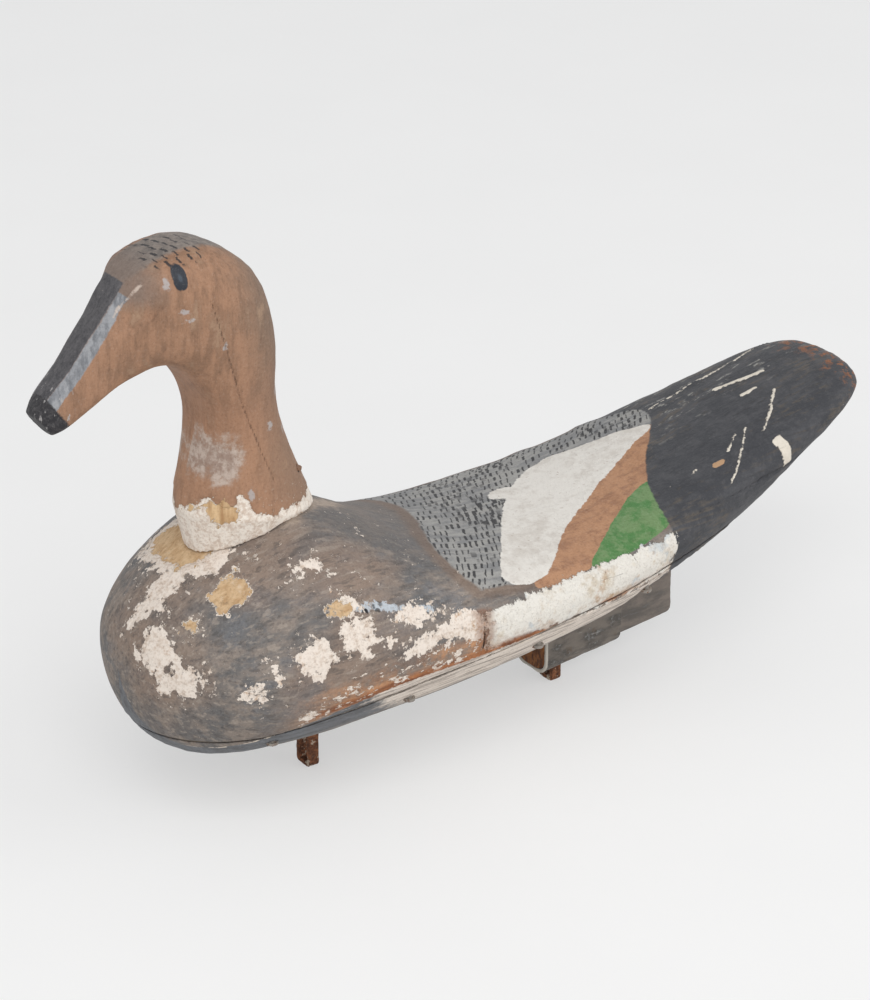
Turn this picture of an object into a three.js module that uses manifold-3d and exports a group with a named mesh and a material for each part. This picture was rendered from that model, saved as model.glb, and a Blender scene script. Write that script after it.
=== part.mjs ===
// A hand-carved, hollow, painted duck decoy that stands on its two mooring staples.
//
// Frame, in millimetres: +X from the bill towards the tail, +Y to the duck's right,
// +Z up. The floor is z = 0 and the origin lies under the middle of the overall length.
// Inside this file every x is measured from the front staple; the outer group moves
// the finished decoy onto its origin.

import * as THREE from 'three';
import { mergeVertices } from 'three/addons/utils/BufferGeometryUtils.js';
import Module from 'manifold-3d';

const wasm = await Module();
wasm.setup();

// ---------------------------------------------------------------- driving dimensions

const BODY_LENGTH = 382;          // breast to tail end
const BODY_WIDTH = 124;           // at the widest rib
const BODY_DEPTH = 108;           // lowest point of the hull to the top of the breast
const BREAST_OVERHANG = 92;       // breast front ahead of the front staple
const HULL_LIFT = 26;             // lowest point of the hull above the floor
const BODY_WALL = 24;             // thickness left by the hollowing
const HOLLOW_FRONT = 105;         // hollow starts this far behind the breast front
const HOLLOW_LENGTH = 186;

const SEAM_HEIGHT = 54.5;         // joint of body and bottom board, above the front staple
const SEAM_RISE = 0.10;           // rise of that joint per unit of length
const SEAM_PUTTY = 0.8;           // thickness of the bedding putty in the joint

const NECK_SEAT_HEIGHT = 132;     // neck joint above the floor, at the dowel
const NECK_SEAT_FALL = 0.14;      // fall of the neck joint per unit of length towards the tail
const NECK_SEAT_REACH = 90;       // the seat is planed this far behind the dowel
const NECK_TO_BREAST = 63;        // breast front to the dowel
const DOWEL_RADIUS = 6;
const DOWEL_IN_NECK = 34;
const DOWEL_IN_BODY = 30;
const HEAD_SCALE = 1;             // size of the head against its drawn outline
const FOOT_SCRIBE_DEPTH = 26;      // the foot is cut to the breast's curve, at most this far down
const FOOT_SCRIBE_TAPER = 6;       // and narrows this much on the way
const PUTTY_WIDTH = 1.8;          // ring of gesso round the foot of the neck
const PUTTY_HEIGHT = 5;

const KEEL_FRONT = 119;           // front end of the keel behind the front staple
const KEEL_LENGTH = 72;
const KEEL_WIDTH = 19;
const KEEL_GROUND_GAP = 9.6;      // keel underside above the floor, at its front end
const KEEL_RISE = 0.09;           // rise of the keel underside per unit of length
const KEEL_ROUNDING = 6;          // radius of the keel's lower edges
const SHEATH_LENGTH = 42;         // lead wrapping, from the front end of the keel
const SHEATH_THICKNESS = 1.6;

const STAPLE_WIDTH = 10;          // outside width across the two legs
const STAPLE_STRIP = 5;           // width of the iron strip, along the decoy
const STAPLE_THICKNESS = 2;
const STAPLE_BEND = 2.5;          // outside radius of its two corners
const STAPLE_DRIVEN = 14;         // how deep the legs are driven in
const REAR_STAPLE_X = 130;

const NAIL_SHANK = 1.3;           // radius
const NAIL_HEAD = 2.6;            // radius
const NAIL_HEAD_LENGTH = 1.2;
const NAIL_POINT = 2;             // length of the point
const BOARD_NAIL_LENGTH = 30;
const BOARD_NAIL_ROWS = [-44, 18, 84, 146];
const NECK_NAIL_LENGTH = 38;
const NECK_NAIL_BACK = 19.5;      // neck nails behind the dowel
const NECK_NAIL_RISE = 17;        // nail heads above the neck joint
const NECK_NAIL_SPREAD = 9;       // each neck nail off the centre line
const SCREW_SHANK = 2;            // radius
const SCREW_HEAD = 4.2;           // radius
const SCREW_CONE = 4;             // depth of the countersunk head
const SCREW_POINT = 5;
const SCREW_IN_BOARD = 11;
const SCREW_SUNK = 1.5;           // head below the keel's underside
const KEEL_SCREWS = [30, 62];     // from the keel's front end
const TACK_HEAD = 2.4;            // radius
const TACK_HEIGHT = 1.1;
const TACK_BELOW_HULL = 7;
const TACK_PLACES = [6, 21, 36];  // from the keel's front end

const GAP = 0.3;                  // clearance between pieces that touch
const RIM_MARGIN = 8;             // board nails stay this far inside the hull's rim

// ---------------------------------------------------------------- materials

function finish(color, roughness, metalness = 0) {
    return new THREE.MeshStandardMaterial({ color, roughness, metalness });
}

const PAINT_GREY = () => finish(0x7b7977, 0.75);
const PAINT_BLUE_GREY = () => finish(0x6d7378, 0.75);
const PAINT_CHESTNUT = () => finish(0x8a6450, 0.7);
const BARE_WOOD = () => finish(0xb18a5c, 0.85);
const GESSO = () => finish(0xd9d3ca, 0.9);
const LEAD = () => finish(0x73797f, 0.6, 0.6);
const RUSTY_IRON = () => finish(0x5a3a2c, 0.85, 0.5);

// ---------------------------------------------------------------- solid helpers

function solid(geometry) {
    const bare = geometry.clone();
    bare.deleteAttribute('normal');
    bare.deleteAttribute('uv');
    const merged = mergeVertices(bare, 1e-4);
    return new wasm.Manifold(new wasm.Mesh({
        numProp: 3,
        vertProperties: new Float32Array(merged.attributes.position.array),
        triVerts: new Uint32Array(merged.index.array),
    }));
}

function surface(manifold) {
    const mesh = manifold.getMesh();
    const geometry = new THREE.BufferGeometry();
    geometry.setAttribute('position', new THREE.BufferAttribute(mesh.vertProperties, 3));
    geometry.setIndex(new THREE.BufferAttribute(mesh.triVerts, 1));
    geometry.computeVertexNormals();
    return geometry;
}

function piece(name, shape, material) {
    const mesh = new THREE.Mesh(surface(shape), material);
    mesh.name = name;
    return mesh;
}

// Skins a row of equal rings and closes both ends with a fan.
function loft(rings) {
    const size = rings[0].length;
    const points = rings.flat();
    const faces = [];
    for (let i = 0; i + 1 < rings.length; i++) {
        for (let j = 0; j < size; j++) {
            const a = i * size + j;
            const b = i * size + (j + 1) % size;
            faces.push(a, b, a + size, b, b + size, a + size);
        }
    }
    for (const [start, flip] of [[0, true], [(rings.length - 1) * size, false]]) {
        const ring = points.slice(start, start + size);
        const middle = ring.reduce((sum, p) => sum.add(p), new THREE.Vector3()).divideScalar(size);
        const hub = points.push(middle) - 1;
        for (let j = 0; j < size; j++) {
            const a = start + j;
            const b = start + (j + 1) % size;
            faces.push(hub, flip ? b : a, flip ? a : b);
        }
    }
    const geometry = new THREE.BufferGeometry().setFromPoints(points);
    geometry.setIndex(faces);
    return solid(geometry);
}

// Smooth curve through one column of a station table, read by station number.
function column(rows, index) {
    const curve = new THREE.SplineCurve(rows.map((row, i) => new THREE.Vector2(i, row[index])));
    return (t) => curve.getPoint(t).y;
}

const signedPower = (value, power) => Math.sign(value) * Math.abs(value) ** power;

// A round pin from one point to another.
function rod(from, to, radius, sides = 16) {
    const length = from.distanceTo(to);
    const geometry = new THREE.CylinderGeometry(radius, radius, length, sides);
    geometry.translate(0, length / 2, 0);
    geometry.applyQuaternion(turnUpTo(to.clone().sub(from)));
    geometry.translate(from.x, from.y, from.z);
    return solid(geometry);
}

function turnUpTo(direction) {
    const up = new THREE.Vector3(0, 1, 0);
    return new THREE.Quaternion().setFromUnitVectors(up, direction.clone().normalize());
}

// A turned piece whose profile [radius, height] starts and ends on its axis.
function turned(profile, from, direction, sides = 16) {
    const points = profile.map(([radius, height]) => new THREE.Vector2(radius, height));
    const geometry = new THREE.LatheGeometry(points, sides);
    geometry.applyQuaternion(turnUpTo(direction));
    geometry.translate(from.x, from.y, from.z);
    return solid(geometry);
}

// An outline in the YZ plane, given as a Shape of (y, z), stretched from x0 to x1.
function alongX(shape, x0, x1) {
    const geometry = new THREE.ExtrudeGeometry(shape, {
        depth: x1 - x0, bevelEnabled: false, curveSegments: 6,
    });
    geometry.applyMatrix4(new THREE.Matrix4().makeBasis(
        new THREE.Vector3(0, 1, 0), new THREE.Vector3(0, 0, 1), new THREE.Vector3(1, 0, 0)));
    geometry.translate(x0, 0, 0);
    return solid(geometry);
}

// ---------------------------------------------------------------- hull form

// Ribs from breast to tail, as shares: place along the length, half width,
// height of belly, girth and back in the depth, and squareness of the upper edge.
const RIBS = [
    [0.000, 0.02, 0.45, 0.46, 0.47, 2.0],
    [0.008, 0.28, 0.30, 0.46, 0.60, 2.0],
    [0.030, 0.52, 0.15, 0.45, 0.70, 2.0],
    [0.070, 0.75, 0.05, 0.45, 0.80, 2.0],
    [0.125, 0.90, 0.01, 0.45, 0.91, 2.0],
    [0.200, 0.98, 0.00, 0.45, 0.98, 2.0],
    [0.280, 1.00, 0.01, 0.45, 0.85, 2.0],
    [0.370, 1.00, 0.02, 0.45, 0.68, 2.0],
    [0.470, 0.98, 0.05, 0.46, 0.60, 2.1],
    [0.585, 0.93, 0.09, 0.48, 0.60, 2.2],
    [0.685, 0.84, 0.18, 0.53, 0.65, 2.4],
    [0.785, 0.73, 0.33, 0.60, 0.73, 2.6],
    [0.875, 0.62, 0.49, 0.69, 0.80, 2.8],
    [0.945, 0.53, 0.64, 0.76, 0.85, 2.8],
    [0.985, 0.38, 0.74, 0.80, 0.86, 2.4],
    [1.000, 0.06, 0.79, 0.80, 0.81, 2.2],
];
const LAST_RIB = RIBS.length - 1;
const HULL_RINGS = 46;
const HULL_SIDES = 36;
const BELLY_FULLNESS = 2.0;
const hullColumns = RIBS[0].map((_, index) => column(RIBS, index));

function rib(t) {
    const [along, wide, belly, girth, back, square] = hullColumns.map((read) => read(t / LAST_RIB));
    return {
        x: along * BODY_LENGTH - BREAST_OVERHANG,
        half: wide * BODY_WIDTH / 2,
        belly: HULL_LIFT + belly * BODY_DEPTH,
        girth: HULL_LIFT + girth * BODY_DEPTH,
        back: HULL_LIFT + back * BODY_DEPTH,
        square,
    };
}

// Finds the rib at a given x by halving.
function ribAt(x) {
    let low = 0;
    let high = LAST_RIB;
    for (let i = 0; i < 40; i++) {
        const middle = (low + high) / 2;
        if (rib(middle).x < x) low = middle;
        else high = middle;
    }
    return rib(low);
}

// One closed ring of the hull, drawn in by an inset.
function ribRing(section, inset) {
    const half = Math.max(section.half - inset, 0.2);
    const rise = Math.max(section.back - section.girth - inset, 0.2);
    const drop = Math.max(section.girth - section.belly - inset, 0.2);
    return Array.from({ length: HULL_SIDES }, (_, j) => {
        const angle = 2 * Math.PI * j / HULL_SIDES;
        const power = 2 / (Math.sin(angle) > 0 ? section.square : BELLY_FULLNESS);
        const y = half * signedPower(Math.cos(angle), power);
        const lift = signedPower(Math.sin(angle), power);
        return new THREE.Vector3(section.x, y, section.girth + lift * (lift > 0 ? rise : drop));
    });
}

function hull(inset, x0 = -Infinity, x1 = Infinity) {
    const all = Array.from({ length: HULL_RINGS }, (_, i) => rib(LAST_RIB * i / (HULL_RINGS - 1)));
    const kept = all.filter((section) => section.x > x0 && section.x < x1);
    return loft(kept.map((section) => ribRing(section, inset)));
}

// The other side of a rounded corner: one share of a half section given the other share.
function acrossCorner(share) {
    return Math.max(1 - Math.abs(share) ** BELLY_FULLNESS, 0) ** (1 / BELLY_FULLNESS);
}

// Height of the hull's underside, and half width of the hull at the board's joint.
function undersideAt(x, y) {
    const { half, girth, belly } = ribAt(x);
    return girth - (girth - belly) * acrossCorner(y / half);
}

function rimAt(x) {
    const { half, girth, belly } = ribAt(x);
    return half * acrossCorner((girth - seamAt(x)) / (girth - belly));
}

const seamAt = (x) => SEAM_HEIGHT + SEAM_RISE * x;
const keelAt = (x) => KEEL_GROUND_GAP + KEEL_RISE * (x - KEEL_FRONT);
const DOWEL_X = NECK_TO_BREAST - BREAST_OVERHANG;
const neckSeatAt = (x) => NECK_SEAT_HEIGHT - NECK_SEAT_FALL * (x - DOWEL_X);

const SLAB_SPARE = 50;            // cutting slabs start this far ahead of the breast

// A slab between two heights that follow a sloping line, wide enough for the hull.
function slopingSlab(lower, upper, x0 = -BREAST_OVERHANG - SLAB_SPARE, x1 = BODY_LENGTH) {
    const shape = new THREE.Shape([
        new THREE.Vector2(x0, lower(x0)), new THREE.Vector2(x1, lower(x1)),
        new THREE.Vector2(x1, upper(x1)), new THREE.Vector2(x0, upper(x0)),
    ]);
    const geometry = new THREE.ExtrudeGeometry(shape, { depth: 2 * BODY_WIDTH, bevelEnabled: false });
    geometry.rotateX(Math.PI / 2);
    geometry.translate(0, BODY_WIDTH, 0);
    return solid(geometry);
}

// The flat seat planed for the foot of the neck; it ends just behind the foot.
function neckSeatCut() {
    const end = DOWEL_X + NECK_SEAT_REACH;
    return slopingSlab(neckSeatAt, () => NECK_SEAT_HEIGHT * 2, -BREAST_OVERHANG - SLAB_SPARE, end);
}

// ---------------------------------------------------------------- fasteners

const DOWN = new THREE.Vector3(0, 0, -1);
const UP = new THREE.Vector3(0, 0, 1);

// A nail whose head lies at its start; the hole is the same nail with the gap added.
function nail(start, direction, length, gap = 0) {
    const profile = [
        [0, -gap],
        [NAIL_HEAD + gap, -gap],
        [NAIL_HEAD + gap, NAIL_HEAD_LENGTH + gap],
        [NAIL_SHANK + gap, NAIL_HEAD_LENGTH + gap],
        [NAIL_SHANK + gap, length - NAIL_POINT],
        [0, length + gap],
    ];
    return turned(profile, start, direction, 12);
}

function boardNailStarts() {
    const starts = [];
    for (const x of BOARD_NAIL_ROWS) {
        for (const side of [-1, 1]) {
            const y = side * (rimAt(x) - RIM_MARGIN);
            starts.push(new THREE.Vector3(x, y, undersideAt(x, y) + 1));
        }
    }
    return starts;
}

const NECK_NAIL_LEAN = new THREE.Vector3(-0.25, 0, -1);

function neckNailStarts() {
    const x = DOWEL_X + NECK_NAIL_BACK;
    return [-1, 1].map((side) => new THREE.Vector3(
        x, side * NECK_NAIL_SPREAD, neckSeatAt(x) + NECK_NAIL_RISE));
}

// A countersunk screw driven upwards from the keel's underside. Its hole, made with
// a gap, also opens the keel below the sunk head.
function keelScrew(place, gap = 0) {
    const x = KEEL_FRONT + place;
    const start = keelAt(x) + SCREW_SUNK;
    const length = undersideAt(x, 0) + SCREW_IN_BOARD - start;
    const mouth = gap > 0 ? -SCREW_SUNK - SHEATH_THICKNESS - 2 * gap : 0;
    const profile = [
        [0, mouth],
        [SCREW_HEAD + gap, mouth],
        [SCREW_HEAD + gap, SCREW_CONE / 5],
        [SCREW_SHANK + gap, SCREW_CONE],
        [SCREW_SHANK + gap, length - SCREW_POINT],
        [0, length + gap],
    ];
    return turned(profile, new THREE.Vector3(x, 0, start), UP);
}

// ---------------------------------------------------------------- staples

// A flat strip bent into a narrow U; its crown lies on the floor.
function stapleShape(top, spread) {
    const half = STAPLE_WIDTH / 2 + spread;
    const thick = STAPLE_THICKNESS + 2 * spread;
    const floor = -spread;
    const inner = Math.max(STAPLE_BEND - STAPLE_THICKNESS, 0.5);
    const shape = new THREE.Shape();
    shape.moveTo(-half, top);
    shape.lineTo(-half, floor + STAPLE_BEND);
    shape.quadraticCurveTo(-half, floor, -half + STAPLE_BEND, floor);
    shape.lineTo(half - STAPLE_BEND, floor);
    shape.quadraticCurveTo(half, floor, half, floor + STAPLE_BEND);
    shape.lineTo(half, top);
    shape.lineTo(half - thick, top);
    shape.lineTo(half - thick, floor + thick + inner);
    shape.quadraticCurveTo(half - thick, floor + thick, half - thick - inner, floor + thick);
    shape.lineTo(-half + thick + inner, floor + thick);
    shape.quadraticCurveTo(-half + thick, floor + thick, -half + thick, floor + thick + inner);
    shape.lineTo(-half + thick, top);
    return shape;
}

function staple(x, root, spread = 0) {
    const reach = STAPLE_STRIP / 2 + spread;
    return alongX(stapleShape(root + STAPLE_DRIVEN + spread, spread), x - reach, x + reach);
}

const frontStaple = (spread) => staple(0, HULL_LIFT, spread);
const rearStaple = (spread) => staple(REAR_STAPLE_X, keelAt(REAR_STAPLE_X), spread);

// ---------------------------------------------------------------- keel

// Cross-section of the keel bar, open-topped: it is cut to the hull afterwards.
function keelShape(grow, bottom) {
    const half = KEEL_WIDTH / 2 + grow;
    const radius = KEEL_ROUNDING + grow;
    const low = bottom - grow;
    const high = ribAt(KEEL_FRONT).girth - keelAt(KEEL_FRONT);
    const shape = new THREE.Shape();
    shape.moveTo(half, high);
    shape.lineTo(-half, high);
    shape.lineTo(-half, low + radius);
    shape.quadraticCurveTo(-half, low, -half + radius, low);
    shape.lineTo(half - radius, low);
    shape.quadraticCurveTo(half, low, half, low + radius);
    return shape;
}

// The bar lies level when extruded, then leans up towards the tail.
function keelPrism(grow, x0, x1) {
    const geometry = new THREE.ExtrudeGeometry(keelShape(grow, 0), {
        depth: x1 - x0, bevelEnabled: false, curveSegments: 5,
    });
    geometry.applyMatrix4(new THREE.Matrix4().set(
        0, 0, 1, x0,
        1, 0, 0, 0,
        0, 1, KEEL_RISE, keelAt(x0),
        0, 0, 0, 1));
    return solid(geometry);
}

// ---------------------------------------------------------------- head

// Stations from bill tip to foot of neck: front point, back point (both x, z from the
// foot's middle), half thickness and squareness.
const HEAD_STATIONS = [
    [-90, 55, -97, 65, 6.5, 2.6],
    [-84, 57, -93, 71, 8.0, 3.2],
    [-74, 62, -83, 81, 8.8, 3.4],
    [-63, 68, -75, 91, 9.8, 3.4],
    [-53, 72, -67, 101, 12.5, 3.2],
    [-44, 74, -59, 112, 17.0, 3.0],
    [-37, 72, -46, 120, 20.5, 2.9],
    [-31, 66, -26, 122, 22.0, 2.8],
    [-26, 58, -7, 113, 22.0, 2.8],
    [-23, 49, 5, 99, 21.5, 2.7],
    [-23, 40, 11, 76, 20.0, 2.4],
    [-25, 30, 12, 52, 19.0, 2.2],
    [-28, 20, 17, 29, 19.5, 2.1],
    [-31, 10, 25, 12, 20.5, 2.0],
    [-32, 0, 31, 0, 22.0, 2.0],
];
const LAST_HEAD = HEAD_STATIONS.length - 1;
const HEAD_RINGS = 40;
const HEAD_SIDES = 28;
const headColumns = HEAD_STATIONS[0].map((_, index) => column(HEAD_STATIONS, index));

function headRing(t) {
    const [fx, fz, bx, bz, thick, square] = headColumns.map((read) => read(t / LAST_HEAD));
    const foot = neckFootPoint();
    const lean = (x) => (LAST_HEAD - t < 2 ? -NECK_SEAT_FALL * x * (1 - (LAST_HEAD - t) / 2) : 0);
    const front = new THREE.Vector3(fx, 0, fz + lean(fx)).multiplyScalar(HEAD_SCALE).add(foot);
    const back = new THREE.Vector3(bx, 0, bz + lean(bx)).multiplyScalar(HEAD_SCALE).add(foot);
    const middle = front.clone().add(back).multiplyScalar(0.5);
    const reach = front.clone().sub(middle);
    return Array.from({ length: HEAD_SIDES }, (_, j) => {
        const angle = 2 * Math.PI * j / HEAD_SIDES;
        const point = middle.clone().addScaledVector(reach, signedPower(Math.cos(angle), 2 / square));
        point.y = HEAD_SCALE * thick * signedPower(Math.sin(angle), 2 / square);
        return point;
    });
}

function neckFootPoint() {
    return new THREE.Vector3(DOWEL_X, 0, NECK_SEAT_HEIGHT + GAP);
}

// ---------------------------------------------------------------- sub-parts

function dowel(gap = 0) {
    const from = new THREE.Vector3(DOWEL_X, 0, NECK_SEAT_HEIGHT - DOWEL_IN_BODY - gap);
    const to = new THREE.Vector3(DOWEL_X, 0, NECK_SEAT_HEIGHT + DOWEL_IN_NECK + gap);
    return rod(from, to, DOWEL_RADIUS + gap, 20);
}

function cutNails(shape, starts, direction, length) {
    return starts.reduce((left, start) => left.subtract(nail(start, direction, length, GAP)), shape);
}

function bodyShell() {
    const above = slopingSlab((x) => seamAt(x) + SEAM_PUTTY / 2 + GAP, () => NECK_SEAT_HEIGHT * 2);
    const aboveNeck = neckSeatCut();
    const hollowStart = HOLLOW_FRONT - BREAST_OVERHANG;
    const hollow = hull(BODY_WALL, hollowStart, hollowStart + HOLLOW_LENGTH);
    let shape = hull(0).intersect(above).subtract(aboveNeck).subtract(hollow).subtract(dowel(GAP));
    shape = cutNails(shape, boardNailStarts(), UP, BOARD_NAIL_LENGTH);
    return cutNails(shape, neckNailStarts(), NECK_NAIL_LEAN, NECK_NAIL_LENGTH);
}

function bottomBoard() {
    const below = slopingSlab(() => -HULL_LIFT, (x) => seamAt(x) - SEAM_PUTTY / 2 - GAP);
    let shape = hull(0).intersect(below).subtract(frontStaple(GAP));
    for (const place of KEEL_SCREWS) {
        shape = shape.subtract(keelScrew(place, GAP));
    }
    return cutNails(shape, boardNailStarts(), UP, BOARD_NAIL_LENGTH);
}

// Bedding putty squeezed between body and bottom board, as a ring round the hollow.
function seamPutty() {
    const layer = slopingSlab((x) => seamAt(x) - SEAM_PUTTY / 2, (x) => seamAt(x) + SEAM_PUTTY / 2);
    const hollowStart = HOLLOW_FRONT - BREAST_OVERHANG;
    const hollow = hull(BODY_WALL - GAP, hollowStart, hollowStart + HOLLOW_LENGTH);
    const shape = hull(GAP).intersect(layer).subtract(hollow);
    return cutNails(shape, boardNailStarts(), UP, BOARD_NAIL_LENGTH);
}

function headAndNeck() {
    const rings = Array.from({ length: HEAD_RINGS }, (_, i) => (
        headRing(LAST_HEAD * i / (HEAD_RINGS - 1))));
    const shape = loft(rings).add(scribedFoot()).subtract(dowel(GAP));
    return cutNails(shape, neckNailStarts(), NECK_NAIL_LEAN, NECK_NAIL_LENGTH);
}

// The outline of the neck's foot, spread outwards and raised.
function footOutline(spread, rise) {
    const centre = neckFootPoint();
    return headRing(LAST_HEAD).map((point) => {
        const out = point.clone().sub(centre).setZ(0).normalize();
        return point.clone().addScaledVector(out, spread).addScaledVector(UP, rise);
    });
}

// The lower part of the foot, cut to fit where the breast falls away from the planed seat.
function scribedFoot() {
    const overlap = 2;
    const outlines = [
        footOutline(-FOOT_SCRIBE_TAPER, -FOOT_SCRIBE_DEPTH),
        footOutline(-GAP, 0),
        footOutline(-overlap, overlap),
    ];
    return loft(outlines.reverse()).subtract(hull(-GAP));
}

// A ring of gesso round the foot of the neck, resting on the neck joint's plane.
function neckPutty() {
    const outer = loft([footOutline(PUTTY_WIDTH - 1, PUTTY_HEIGHT), footOutline(PUTTY_WIDTH, GAP)]);
    const neck = loft([footOutline(GAP, PUTTY_HEIGHT + 1), footOutline(GAP, -1)]);
    return cutNails(outer.subtract(neck), neckNailStarts(), NECK_NAIL_LEAN, NECK_NAIL_LENGTH);
}

function keelBar() {
    let shape = keelPrism(0, KEEL_FRONT, KEEL_FRONT + KEEL_LENGTH)
        .subtract(hull(-GAP))
        .subtract(rearStaple(GAP));
    for (const place of KEEL_SCREWS) {
        shape = shape.subtract(keelScrew(place, GAP));
    }
    return shape;
}

function keelSheath() {
    const outer = keelPrism(SHEATH_THICKNESS + GAP, KEEL_FRONT, KEEL_FRONT + SHEATH_LENGTH);
    const inner = keelPrism(GAP, KEEL_FRONT - 1, KEEL_FRONT + SHEATH_LENGTH + 1);
    return outer.subtract(inner).subtract(hull(-GAP)).subtract(rearStaple(GAP))
        .subtract(keelScrew(KEEL_SCREWS[0], GAP));
}

// Round-headed tacks on both flanks of the lead.
function keelTack(place, side) {
    const x = KEEL_FRONT + place;
    const face = side * (KEEL_WIDTH / 2 + SHEATH_THICKNESS + 2 * GAP);
    const start = new THREE.Vector3(x, face, undersideAt(x, face) - TACK_BELOW_HULL);
    const profile = [
        [0, 0],
        [TACK_HEAD, 0],
        [TACK_HEAD * 0.75, TACK_HEIGHT * 0.7],
        [0, TACK_HEIGHT],
    ];
    return turned(profile, start, new THREE.Vector3(0, side, 0), 12);
}

// ---------------------------------------------------------------- assembly

const decoy = new THREE.Group();
const onOrigin = new THREE.Group();
const headTip = DOWEL_X + HEAD_STATIONS[0][2] * HEAD_SCALE;
onOrigin.position.x = -(headTip + BODY_LENGTH - BREAST_OVERHANG) / 2;
decoy.add(onOrigin);

onOrigin.add(
    piece('body_shell', bodyShell(), PAINT_GREY()),
    piece('bottom_board', bottomBoard(), PAINT_BLUE_GREY()),
    piece('seam_putty', seamPutty(), GESSO()),
    piece('head_and_neck', headAndNeck(), PAINT_CHESTNUT()),
    piece('neck_putty', neckPutty(), GESSO()),
    piece('neck_dowel', dowel(), BARE_WOOD()),
    piece('keel_bar', keelBar(), PAINT_BLUE_GREY()),
    piece('keel_sheath', keelSheath(), LEAD()),
    piece('front_staple', frontStaple(0), RUSTY_IRON()),
    piece('rear_staple', rearStaple(0), RUSTY_IRON()),
);

const SIDES = [['left', -1], ['right', 1]];

boardNailStarts().forEach((start, i) => {
    const name = `board_nail_${SIDES[i % 2][0]}_${Math.floor(i / 2) + 1}`;
    onOrigin.add(piece(name, nail(start, UP, BOARD_NAIL_LENGTH), RUSTY_IRON()));
});

neckNailStarts().forEach((start, i) => {
    const shape = nail(start, NECK_NAIL_LEAN, NECK_NAIL_LENGTH);
    onOrigin.add(piece(`neck_nail_${SIDES[i][0]}`, shape, RUSTY_IRON()));
});

KEEL_SCREWS.forEach((place, i) => {
    onOrigin.add(piece(`keel_screw_${i + 1}`, keelScrew(place), RUSTY_IRON()));
});

for (const [sideName, side] of SIDES) {
    TACK_PLACES.forEach((place, i) => {
        onOrigin.add(piece(`keel_tack_${sideName}_${i + 1}`, keelTack(place, side), RUSTY_IRON()));
    });
}

export default decoy;
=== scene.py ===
import itertools
import math

import bmesh
import bpy
import numpy as np
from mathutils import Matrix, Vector
from mathutils.bvhtree import BVHTree


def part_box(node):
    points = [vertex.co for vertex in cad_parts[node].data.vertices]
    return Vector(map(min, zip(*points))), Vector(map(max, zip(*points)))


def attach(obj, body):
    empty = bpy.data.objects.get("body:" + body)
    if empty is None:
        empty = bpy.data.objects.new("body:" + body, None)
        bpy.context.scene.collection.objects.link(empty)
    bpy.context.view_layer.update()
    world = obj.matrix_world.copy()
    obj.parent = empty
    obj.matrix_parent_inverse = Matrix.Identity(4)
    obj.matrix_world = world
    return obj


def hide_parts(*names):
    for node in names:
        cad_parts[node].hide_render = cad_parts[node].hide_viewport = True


# A hand-carved, painted duck decoy, worn and flaking. The duck's bill points to -X and
# its left side faces -Y. Lengths below are millimetres; the scene itself is in metres.

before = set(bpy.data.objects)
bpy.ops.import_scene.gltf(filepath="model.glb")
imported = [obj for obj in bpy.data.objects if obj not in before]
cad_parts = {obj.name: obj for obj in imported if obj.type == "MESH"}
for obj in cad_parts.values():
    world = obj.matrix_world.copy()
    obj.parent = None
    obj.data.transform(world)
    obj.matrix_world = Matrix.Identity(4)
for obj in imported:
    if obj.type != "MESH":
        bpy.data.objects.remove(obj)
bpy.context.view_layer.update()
MM = 0.001


# ---------------------------------------------------------------- number helpers

def lattice_noise(places, seed):
    """Smooth noise from -1 to 1, from random values on a unit lattice."""
    cell = np.floor(places).astype(np.int64)
    part = places - cell
    blend = part * part * (3 - 2 * part)
    total = np.zeros(len(places))
    for corner in itertools.product((0, 1), repeat=3):
        at = cell + np.array(corner)
        mixed = at[:, 0] * 73856093 ^ at[:, 1] * 19349663 ^ at[:, 2] * 83492791 ^ seed * 2654435
        mixed = (mixed * 1103515245 + 12345) & 0x7FFFFFFF
        mixed = ((mixed >> 11) ^ mixed) * 69069 & 0x7FFFFFFF
        share = np.where(np.array(corner) == 1, blend, 1 - blend)
        total += (mixed / 0x3FFFFFFF - 1) * share.prod(axis=1)
    return total


def rough_noise(places, size, seed, octaves=3):
    """Several sizes of lattice noise added up; size is the largest one's, in millimetres."""
    total = np.zeros(len(places))
    for octave in range(octaves):
        total += lattice_noise(places * 2 ** octave / size, seed + octave) / 2 ** octave
    return total


def smooth_step(low, high, value):
    t = np.clip((value - low) / (high - low), 0, 1)
    return t * t * (3 - 2 * t)


def outline_distance(places, outline):
    """Distance of each flat place to a closed outline, negative inside."""
    nearest = np.full(len(places), 1e9)
    inside = np.zeros(len(places), bool)
    for start, end in zip(outline, np.roll(outline, -1, axis=0)):
        nearest = np.minimum(nearest, segment_distance(places, start, end))
        crosses = (start[1] > places[:, 1]) != (end[1] > places[:, 1])
        if start[1] != end[1]:
            slope = (end[0] - start[0]) / (end[1] - start[1])
            inside ^= crosses & (places[:, 0] < start[0] + (places[:, 1] - start[1]) * slope)
    return np.where(inside, -nearest, nearest)


def segment_distance(places, start, end):
    along = end - start
    t = np.clip((places - start) @ along / max(along @ along, 1e-9), 0, 1)
    return np.linalg.norm(places - start - t[:, None] * along, axis=1)


def oval(middle_x, middle_y, half_long, half_tall, lean=0.0):
    """Points round an oval; lean is how much it climbs for each unit of its length."""
    angle = np.radians(np.arange(0, 360, 24))
    along = half_long * np.cos(angle)
    return np.column_stack([middle_x + along, middle_y + half_tall * np.sin(angle) + lean * along])


def oval_distance(places, middle, half_size, power=2.0):
    """Distance of each flat place to an oval, negative inside; a higher power squares it."""
    share = np.abs((places - np.array(middle)) / np.array(half_size))
    return ((share ** power).sum(axis=1) ** (1 / power) - 1) * min(half_size)


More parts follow.
